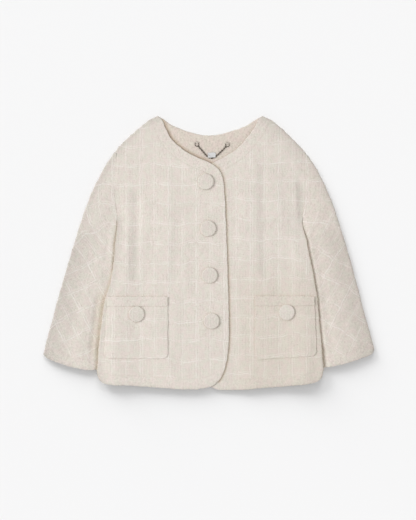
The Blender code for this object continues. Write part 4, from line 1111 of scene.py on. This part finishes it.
LINK_LEAN = 0.3        # radians by which the whole chain lies rolled
w, inputs = new_tree("chain_links", {"Step": 0.0024, "Stretch": 1.4, "Radius": 0.0012, "Wire": 0.00048})
spaced, facing_way = along_line(w, inputs["Geometry"], inputs["Step"])
odd = w.do("MODULO", w.out("GeometryNodeInputIndex"), 2.0)
lying = rolled(w, facing_way, (1, 0, 0), w.do("ADD", w.do("MULTIPLY", odd, math.pi / 2), LINK_LEAN))
oval = w.out("GeometryNodeCurvePrimitiveCircle", {"Resolution": 14, "Radius": inputs["Radius"]})
longer = w.out("ShaderNodeCombineXYZ", {"X": inputs["Stretch"], "Y": 1.0, "Z": 1.0})
stretched = w.out("GeometryNodeTransform", {"Geometry": oval, "Scale": longer})
wire = w.out("GeometryNodeCurvePrimitiveCircle", {"Resolution": 6, "Radius": inputs["Wire"]})
link = w.out("GeometryNodeCurveToMesh", {"Curve": stretched, "Profile Curve": wire})
link_tree = finish_tree(w, repeated(w, spaced, link, lying), inputs["Material"])

w, inputs = new_tree("boucle_loops", {"Density": 20000.0, "Length": 0.0034, "Rise": 0.0004,
                                      "Thickness": 0.00022, "Seed": 1})


def chance(low, high):
    """A number between two others for each loop."""
    return w.out("FunctionNodeRandomValue", {2: low, 3: high, "Seed": inputs["Seed"]}, 1, data_type="FLOAT")


bare = w.out("GeometryNodeInputNamedAttribute", {"Name": "bare"}, "Attribute", data_type="FLOAT")
strewn = node(w.tree, "GeometryNodeDistributePointsOnFaces",
              {"Mesh": inputs["Geometry"], "Density": w.do("MULTIPLY", inputs["Density"], bare),
               "Seed": inputs["Seed"]}).outputs
grain_way = w.out("GeometryNodeInputNamedAttribute", {"Name": "thread"}, "Attribute", data_type="FLOAT_VECTOR")
stood = w.out("FunctionNodeAlignRotationToVector", {"Rotation": strewn["Rotation"], "Vector": grain_way},
              axis="X", pivot_axis="Z")
crosswise = w.out("FunctionNodeRandomValue", {"Probability": 0.5, "Seed": inputs["Seed"]}, 3,
                  data_type="BOOLEAN")
heading = w.do("ADD", w.do("MULTIPLY", crosswise, math.pi / 2), chance(-0.16, 0.16))
yarn = bow(w, inputs["Length"], inputs["Rise"], inputs["Thickness"], 3)
placed = repeated(w, strewn[0], yarn, rolled(w, stood, (0, 0, 1), heading), Scale=chance(0.6, 1.4))
toned = w.out("GeometryNodeStoreNamedAttribute",
              {"Geometry": placed, "Name": "yarn_tone", "Value": chance(0.0, 1.0)},
              data_type="FLOAT", domain="INSTANCE")
loop_tree = finish_tree(w, toned, inputs["Material"])
print("trees:", [tree.name for tree in (stitch_tree, link_tree, loop_tree)])

# %% [markdown]
# ## Tweed
# The cloth is a cream bouclé: a basket of uneven yarns, flecked a little pink and green, crossed by
# pairs of paler threads that come and go. A photograph of cloth could be wrapped over it, but nodes on
# the grain map keep threads straight with the cloth and turn them with the sleeves, at any size. Yarns,
# threads and mottling also make the bump.

# %% The tweed's node tree
CHECK_ACROSS, CHECK_DOWN = 51.8, 36.0
YARN_ACROSS, YARN_DOWN = 2.3, 2.1
CREAM = (0.772, 0.712, 0.647)


def tinted(colour, *shares):
    return tuple(c * k for c, k in zip(colour, shares))


def dressed_tree(name, rough=0.95, sheen=0.08, metallic=0.0):
    """A material, its shader and the wiring of its tree."""
    made = bpy.data.materials.new(name)
    made.use_nodes = True
    shader = made.node_tree.nodes["Principled BSDF"]
    for socket, value in (("Roughness", rough), ("Metallic", metallic), ("Sheen Weight", sheen),
                          ("Sheen Roughness", 0.6), ("Sheen Tint", (1.0, 0.97, 0.93, 1))):
        shader.inputs[socket].default_value = value
    return made, shader, Wiring(made.node_tree)


def pair(w, along, across, period, shift, strength, offset):
    """Two pale threads side by side at each repeat, each one broken along its length."""
    place = w.do("WRAP", w.do("SUBTRACT", across, shift), period / 2, -period / 2)
    lines = []
    for k, (at, wide, force) in enumerate(((-0.9, 1.35, 1.0), (2.9, 1.1, 0.7))):
        off = w.do("ABSOLUTE", w.do("SUBTRACT", place, at))
        kept = w.between(w.noise(along, across, 0.035, 0.02, 2.5, offset + 9 * k), 0.34, 0.58, 0.12, 1.0)
        lines.append(w.do("MULTIPLY", w.between(off, 0.3 * wide, wide, strength * force, 0.0), kept))
    return w.do("MAXIMUM", *lines)


def hatch(w, along, across, period, offset):
    """Thin darker threads at every few millimetres, which come and go."""
    line = w.between(w.do("SINE", w.do("MULTIPLY", across, 2 * math.pi / period)), 0.3, 1.0)
    return w.do("MULTIPLY", line, w.between(w.noise(along, across, 0.03, 0.06, 2.0, offset), 0.42, 0.62))


def tweed(name, base, plain=0.0, contrast=1.0, curls=1.0, hatched=1.0):
    made, shader, w = dressed_tree(name)
    grain = node(w.tree, "ShaderNodeSeparateXYZ", {0: w.out("ShaderNodeUVMap", uv_map="grain")}).outputs
    u0, v0 = w.do("MULTIPLY", grain[0], 1000.0), w.do("MULTIPLY", grain[1], 1000.0)

    def swayed(start, *waves):
        """Threads that wander: each wave is a noise with a swing either way."""
        sway = [w.do("MULTIPLY_ADD", w.noise(u0, v0, *scales), swing, -swing / 2) for swing, *scales in waves]
        return w.do("ADD", start, w.do("ADD", *sway))

    u = swayed(u0, (3.6, 0.02, 0.05, 2.0), (1.2, 0.08, 0.3, 1.0, 31.0))
    v = swayed(v0, (18.0, 0.021, 0.004, 1.5, 57.0), (1.2, 0.3, 0.08, 1.0, 83.0))
    mark = w.mark("plain")
    checked = w.do("MULTIPLY", w.do("SUBTRACT", 1.0, mark), contrast * (1 - plain))

    # Two sets of yarn that pass over and under each other, with slubs and curls in them
    basket = w.do("MULTIPLY", w.do("SINE", w.do("MULTIPLY", u, 2 * math.pi / YARN_ACROSS)),
                  w.do("SINE", w.do("MULTIPLY", v, 2 * math.pi / YARN_DOWN)))
    curl = w.noise(u, v, 0.42, 0.42, 2.0, 11.0)
    slubs = w.do("MAXIMUM", w.between(w.noise(u, v, 0.12, 0.7, 1.0, 5.0), 0.5, 0.72),
                 w.between(w.noise(u, v, 0.75, 0.11, 1.0, 19.0), 0.5, 0.72))

    # The checks: pairs of pale threads lengthwise, fainter ones between them, and pairs crosswise
    pale = w.do("MAXIMUM", pair(w, v, u, CHECK_ACROSS, 0.0, 1.0, 0.0),
                pair(w, v, u, CHECK_ACROSS, CHECK_ACROSS / 2, 0.62, 40.0))
    pale = w.do("MULTIPLY", w.do("MAXIMUM", pale, pair(w, u, v, CHECK_DOWN, 0.0, 0.95, 70.0)), checked)

    # Darker hatching between the lines, lengthwise more than crosswise
    dark = w.do("MULTIPLY_ADD", hatch(w, u, v, 3.9, 23.0), 0.7, hatch(w, v, u, 5.2, 29.0))
    dark = w.do("MULTIPLY", dark, w.do("MULTIPLY_ADD", checked, 0.75, 0.25))

    # Knots and holes between the curls of the yarn, more of them where the cloth is plain
    knots = w.noise(u, v, 0.27, 0.27, 1.5, 41.0)
    speck = w.do("SUBTRACT", w.between(knots, 0.54, 0.74), w.between(knots, 0.46, 0.26))
    knotty = w.do("MULTIPLY", speck, w.do("MULTIPLY_ADD", mark, 2.1, curls))

    height = w.do("MULTIPLY_ADD", basket, 0.16, w.do("MULTIPLY", curl, 0.9))
    height = w.do("MULTIPLY_ADD", knotty, 0.35, height)
    height = w.do("ADD", height, w.do("MULTIPLY_ADD", slubs, 0.45, w.do("MULTIPLY", pale, 0.5)))
    height = w.do("SUBTRACT", height, w.do("MULTIPLY", dark, 0.22 * hatched))
    w.relief(shader, height, 0.5, 0.0006)

    # Mottling and curls about 1, then what is lighter and what is darker
    light = w.do("MULTIPLY_ADD", w.noise(u, v, 0.03, 0.03, 3.0, 3.0), 0.06, 0.97)
    light = w.do("ADD", light, w.do("MULTIPLY_ADD", curl, 0.12, -0.06))
    light = w.do("MULTIPLY_ADD", knotty, 0.03, light)
    # The 'turned' mark takes painted shade off the colour.
    for way, part, share in (("ADD", basket, 0.02), ("ADD", slubs, 0.03), ("ADD", pale, 0.12),
                             ("SUBTRACT", dark, 0.06 * hatched), ("SUBTRACT", w.mark("turned"), 0.11)):
        light = w.do(way, light, w.do("MULTIPLY", part, share))
    flecks = w.mix(w.between(w.noise(u0, v0, 0.09, 0.09, 2.0, 101.0), 0.35, 0.65),
                   tinted(base, 1.018, 0.985, 0.995), tinted(base, 0.985, 1.008, 0.985))
    threads = w.mix(w.do("MULTIPLY", pale, 0.6), flecks, tinted(base, 0.985, 1.02, 1.06))
    # Painted shade: this mark darkens and warms the colour.
    shade = w.mix(w.mark("creased"), (1, 1, 1), (0.83, 0.78, 0.69))
    colour = w.out("ShaderNodeVectorMath", {0: w.scaled(threads, light), 1: shade}, operation="MULTIPLY")
    w.tree.links.new(colour, shader.inputs["Base Color"])
    w.tree.links.new(w.do("MULTIPLY_ADD", curl, 0.14, 0.84), shader.inputs["Roughness"])
    return made


def cream(share, *tint):
    return tinted(tuple(share * c for c in CREAM), *(tint or (1, 1, 1)))


TWEEDS = {
    "body": tweed("tweed_body", CREAM, curls=0.65),
    # Painted shade and light: the right sleeve's cream is darker and the left sleeve's a touch warmer, for how
    # the light falls on each.
    "sleeve_right": tweed("tweed_sleeve_right", cream(0.955), contrast=1.15, curls=1.9, hatched=0.3),
    "sleeve_left": tweed("tweed_sleeve_left", cream(1, 1.015, 1.005, 1.0),
                         contrast=1.15, curls=1.9, hatched=0.3),
    "band": tweed("tweed_band", cream(0.99), plain=1.0, curls=1.7, hatched=0.5),
    # Painted shade: the facing's cream is darker and warmer, for the shade inside the neck.
    "facing": tweed("tweed_facing", cream(0.955, 1.0, 0.962, 0.94), plain=0.85, curls=3.4, hatched=0.4),
    "button": tweed("tweed_button", cream(0.96), contrast=0.45, curls=1.6),
}
print("tweeds:", list(TWEEDS), "nodes each:", len(TWEEDS["body"].node_tree.nodes))

# %% [markdown]
# ## Yarn, metal and tape
# Loose loops and stitches are single yarns, so their finish needs only the twist and a tone for each
# loop. The chain is darkened metal, and the hanger's label is a plain white woven tape.

# %% Four small finishes
yarn_cream, shader, w = dressed_tree("yarn_cream", sheen=0.1)
fibre = w.grit(900.0)
toned = w.mix(w.mark("yarn_tone"), (0.74, 0.675, 0.605), (0.84, 0.78, 0.71))
w.tree.links.new(w.scaled(toned, w.do("MULTIPLY_ADD", fibre, 0.16, 0.92)), shader.inputs["Base Color"])
w.relief(shader, fibre, 0.5, 0.0002)

sewing_thread, shader, w = dressed_tree("sewing_thread", sheen=0.2)
twist = w.do("MULTIPLY_ADD", w.grit(700.0), 0.2, 0.88)
w.tree.links.new(w.scaled((0.78, 0.715, 0.645), twist), shader.inputs["Base Color"])

chain_metal, shader, w = dressed_tree("chain_metal", rough=0.3, sheen=0.0, metallic=1.0)
wear = w.grit(420.0, 3.0)
worn = w.mix(w.between(wear, 0.35, 0.7), (0.10, 0.082, 0.068), (0.36, 0.315, 0.27))
w.tree.links.new(worn, shader.inputs["Base Color"])
w.tree.links.new(w.do("MULTIPLY_ADD", wear, 0.3, 0.2), shader.inputs["Roughness"])

label_tape, shader, w = dressed_tree("label_tape", rough=0.7, sheen=0.15)
place = node(w.tree, "ShaderNodeSeparateXYZ", {0: w.out("ShaderNodeTexCoord", output="Object")}).outputs
ribs, warp = (w.do("SINE", w.do("MULTIPLY", place[k], 2 * math.pi / repeat))
              for k, repeat in ((1, 0.0007), (0, 0.0005)))
weave = w.do("MULTIPLY_ADD", w.do("MULTIPLY", ribs, warp), 0.5, 0.5)
woven = w.scaled((0.71, 0.71, 0.705), w.do("MULTIPLY_ADD", weave, 0.07, 0.93))
w.tree.links.new(woven, shader.inputs["Base Color"])
w.relief(shader, weave, 0.4, 0.0001)
print("materials:", len(bpy.data.materials))

# %% [markdown]
# ## Hanger: rings, links and tape
# A jacket of this kind hangs from a short chain inside its neck. Two rings are sewn to the facing, and a
# folded tape holds the middle of the chain. The links follow the chain's line in the frame, and each
# ring is a closed round of wire, which a torus would give too, but this one lies flat from the start.

# %% Chain, rings and label
CHAIN = ((-20.0, 197.6), (-12.0, 188.2), (-5.0, 180.4), (0.0, 176.8), (4.5, 175.8), (9.0, 176.8),
         (14.0, 180.4), (22.5, 188.4), (30.8, 196.8))
RINGS = (("hanger_ring_right", -22.9, 201.2, -1), ("hanger_ring_left", 33.8, 200.3, 1))
GROUND = TWEED + SEAM + FACING
CHAIN_RISE, RING_RISE = SEAM + 0.95, SEAM + 0.65
RING_RADIUS, RING_WIRE, RING_STEPS, WIRE_STEPS = 3.5, 0.62, 40, 12
HOLDS, HOLD_LEANS, HOLD_RISE, HOLD_HIGH, HOLD_HALF = 9, (52, 132), 0.35, 2.0, 1.9
chain_line = Line(CHAIN)
chain_places = chain_line.at(np.linspace(0, 1, 60))
chain_trail = np.hstack((chain_places, np.full((60, 1), GROUND + CHAIN_RISE)))
pieces["hanger_chain"] = grown("hanger_chain_links", trail("chain", [chain_trail]), link_tree, chain_metal)


def ring_mesh(name, centre):
    """A closed ring of wire lying flat."""
    around, about = (np.linspace(0, 2 * np.pi, n, endpoint=False) for n in (RING_STEPS, WIRE_STEPS))
    work = bmesh.new()
    turns = []
    for a in around:
        r = RING_RADIUS + RING_WIRE * np.cos(about)
        loop = np.stack((r * math.cos(a), r * math.sin(a), RING_WIRE * np.sin(about)), 1) + centre
        turns.append([work.verts.new(place) for place in loop * MM])
    for near, far in zip(turns, turns[1:] + turns[:1]):
        for j in range(WIRE_STEPS):
            k = (j + 1) % WIRE_STEPS
            work.faces.new((near[j], far[j], far[k], near[k]))
    return placed_mesh(name, work)


holds = []
t = np.linspace(-1, 1, 9)[:, None]
for name, x, y, way in RINGS:
    pieces[name] = ring_mesh(name + "_wire", (x, y, GROUND + RING_RISE))
    for lean in np.radians(np.linspace(*HOLD_LEANS, HOLDS)):
        out = np.array((way * math.cos(lean), math.sin(lean)))
        arch = GROUND + HOLD_RISE + HOLD_HIGH * (1 - t ** 2) ** 0.5
        holds.append(np.hstack(((x, y) + (RING_RADIUS + HOLD_HALF * t) * out, arch)))

LABEL_X, LABEL_Y, LABEL = (-2.8, 12.0), (186.0, 176.6), 0.6
LABEL_OVER, LABEL_BOW = 2.1, 0.25
rim = np.array((0, 0.1, 0.3, 0.6))
xs = np.concatenate((LABEL_X[0] + rim, np.linspace(-1.4, 10.6, 22), LABEL_X[1] - rim[::-1]))
ys = np.concatenate((LABEL_Y[0] - rim, np.linspace(184.6, 178.0, 16), LABEL_Y[1] + rim[::-1]))
xy = np.dstack(np.meshgrid(xs, ys))
over = fading(distance(xy, polyline(chain_line)) - 2.0, 2.2)
bowed = LABEL_BOW * np.sin(np.pi * (xy[..., 0] - LABEL_X[0]) / 17)
pieces["hanger_label"] = pillow("hanger_label_tape", xy, GROUND + SEAM + over * LABEL_OVER + bowed * (1 - over),
                                LABEL, xy)
print("chain faces:", len(pieces["hanger_chain"].data.polygons))

# %% [markdown]
# ## Sewing lines and loops of yarn
# A line of stitches runs 20 mm inside the neck and 19 mm above hem and cuffs, and threads hold the two
# rings. Stitches sink into the cloth. Loops of the bouclé yarn lie all over the cloth that shows: a
# hair system could strew them too, but the tree turns each one with the threads beneath it.

# %% Stitches, ring threads and loops
PANEL_MIDDLES = ((-95.0, 0.0), (95.0, 0.0))
SUNK = 0.05            # stitches start this far above the cloth, and their thread is thicker than that
COVERED_WITH_LOOPS = ("front_right", "front_left", "sleeve_right", "sleeve_left", "pocket_right", "pocket_left",
                      "pocket_band_right", "pocket_band_left", "back_neck_facing")
LOOPS, FACING_LOOPS, FIRST_SEED = 26000.0, 16000.0, 3


def inset_line(name, gap, side, height, keep):
    """A pattern line moved into its panel by a gap, on the cloth, where it is kept."""
    places = LINES[name][side].places[::4]
    ways = [places + way * gap * sideways(places) for way in (1, -1)]
    xy = min(ways, key=lambda moved: np.linalg.norm(moved[len(moved) // 2] - PANEL_MIDDLES[side]))
    xy = xy[keep(xy)]
    return np.hstack((xy, height(xy, side)[:, None] + SUNK))


def clear(side, **gaps):
    """A test for places further from the named edges than their gaps."""
    edges = {"edge": EDGE_LINE, "hem": HEM_LINE, "fold": SIDE_FOLD, "outline": OUTLINE}
    return lambda xy: np.all([distance(xy, edges[name][side]) > gap for name, gap in gaps.items()], axis=0)


runs = []
for side in SIDES:
    runs.append(inset_line("neck", NECK_BAND, side, body_top, clear(side, edge=NECK_BAND - 1.5, outline=5)))
    runs.append(inset_line("hem", HEM_BAND, side, body_top, clear(side, edge=4, fold=4, hem=HEM_BAND - 1)))
    runs.append(inset_line("cuff", HEM_BAND, side, sleeve_top, clear(side, outline=4, fold=4)))
additions = [grown("seam_stitches", trail("stitch_lines", runs), stitch_tree, sewing_thread),
             grown("ring_threads", trail("ring_holds", holds), stitch_tree, yarn_cream,
                   Step=0.0006, Length=0.0009, Rise=0.0001, Thickness=0.0003)]
for seed, name in enumerate(COVERED_WITH_LOOPS, FIRST_SEED):
    density = FACING_LOOPS if "facing" in name else LOOPS
    additions.append(grown(name + "_loops", pieces[name].data, loop_tree, yarn_cream,
                           Density=density, Seed=seed))
print("faces added:", {item.name: len(item.data.polygons) for item in additions})

# %% [markdown]
# ## Dress the frame
# Each piece stands for its node and rides on the one body. A table gives the size each sheet is cut:
# what a ruler would measure on the flat panel before it is sewn, all round on a sleeve.

# %% Pieces and cuts
# Width, length and flat area in metres, and what the sheet lies on
CUTS = {
    "back": (0.420, 0.505, 0.172, ["floor", "sleeve_right_cloth", "sleeve_left_cloth"]),
    "front_right": (0.245, 0.507, 0.099, ["back_cloth"]),
    "front_left": (0.245, 0.508, 0.099, ["back_cloth", "front_right_cloth"]),
    "sleeve_right": (0.265, 0.400, 0.063, ["floor"]),
    "sleeve_left": (0.262, 0.400, 0.0587, ["floor"]),
    "back_neck_facing": (0.179, 0.090, 0.0092, ["back_cloth"]),
    "pocket_right": (0.118, 0.115, None, ["front_right_cloth"]),
    "pocket_left": (0.114, 0.117, None, ["front_left_cloth"]),
    "pocket_band_right": (0.112, 0.018, None, ["pocket_right_cloth"]),
    "pocket_band_left": (0.110, 0.018, None, ["pocket_left_cloth"]),
}
FINISHES = {"back_neck_facing": "facing", "sleeve_right": "sleeve_right", "sleeve_left": "sleeve_left",
            "pocket_band_right": "band", "pocket_band_left": "band"}
for name, item in pieces.items():
    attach(item, "root")
    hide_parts(name)
    if name.startswith("hanger"):
        is_label = name == "hanger_label"
        item.data.materials.clear()
        item.data.materials.append(label_tape if is_label else chain_metal)
        continue
    finish = "button" if "button" in name else FINISHES.get(name, "body")
    item.data.materials.append(TWEEDS[finish])
    if name in CUTS:
        wide, long, area, rests = CUTS[name]
for item in additions:
    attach(item, "root")
print("pieces:", len(pieces) + len(additions))

# %% [markdown]
# ## Surface and camera
# The jacket lies on a plain pale surface and is seen from straight above. A long lens far away keeps
# the edges from leaning outwards.

# %% Surface and camera
VIEW_WIDE, LENS, SENSOR = 0.962, 100, 36
bpy.ops.mesh.primitive_plane_add(size=40, location=(0, 0, -0.0004))
floor = bpy.context.object
floor.name = "floor"
pale, shader, w = dressed_tree("pale_floor", rough=0.9, sheen=0.0)
shader.inputs["Base Color"].default_value = (0.741, 0.741, 0.743, 1)
floor.data.materials.append(pale)

camera = bpy.data.objects.new("camera", bpy.data.cameras.new("camera"))
bpy.context.scene.collection.objects.link(camera)
camera.data.lens, camera.data.sensor_width = LENS, SENSOR
camera.location = (-0.0022, -0.013, 0.009 + VIEW_WIDE / SENSOR * LENS)
bpy.context.scene.camera = camera
print("camera height in m:", round(camera.location.z, 3))

# %% [markdown]
# ## Light
# A bright even sky, and one soft lamp at the upper left that reaches only the jacket, as a studio lamp
# with a screen would. The surface has its own three windows, also linked, so that the shadow beside the
# jacket can be as long and as soft as it is without dimming the cloth.

# %% Sky, windows and the soft key
SKY, KEY = 0.66, 0.35
KEY_AWAY, KEY_SIZE, KEY_AZIMUTH, KEY_UP = 2.7, 1.3, 172, 48
# Columns: share of the light on the surface, azimuth, elevation, angle of its disc
WINDOWS = {"low_window": (0.28, 128, 15, 30), "far_window": (0.2, 91, 26, 36), "top_window": (0.11, 90, 90, 2)}
world = bpy.data.worlds.new("studio")
bpy.context.scene.world = world
world.use_nodes = True
world.node_tree.nodes["Background"].inputs[0].default_value = (1, 1, 1, 1)
world.node_tree.nodes["Background"].inputs[1].default_value = SKY


def reach(lamp, items):
    """Let a lamp light only these."""
    group = bpy.data.collections.new(lamp.name + "_reach")
    for item in items:
        group.objects.link(item)
    lamp.light_linking.receiver_collection = group


def aimed(name, kind, azimuth, elevation, away=0.0):
    lamp = bpy.data.objects.new(name, bpy.data.lights.new(name, kind))
    a, e = math.radians(azimuth), math.radians(elevation)
    towards = Vector((math.cos(a) * math.cos(e), math.sin(a) * math.cos(e), math.sin(e)))
    lamp.rotation_euler = towards.to_track_quat("Z", "Y").to_euler()
    lamp.location = towards * away
    bpy.context.scene.collection.objects.link(lamp)
    return lamp


for name, (share, azimuth, elevation, angle) in WINDOWS.items():
    window = aimed(name, "SUN", azimuth, elevation)
    window.data.angle = math.radians(angle)
    window.data.energy = share * math.pi / math.sin(math.radians(elevation))
    reach(window, [floor])
key = aimed("soft_key", "AREA", KEY_AZIMUTH, KEY_UP, KEY_AWAY)
key.data.size = KEY_SIZE
key.data.energy = KEY * 4 * math.pi * KEY_AWAY ** 2 / math.sin(math.radians(KEY_UP)) * math.pi / 4
reach(key, [*pieces.values(), *additions])
bpy.context.scene.view_settings.view_transform = "Standard"

# %% [markdown]
# The dressed jacket has to fill the frame's box and no more.
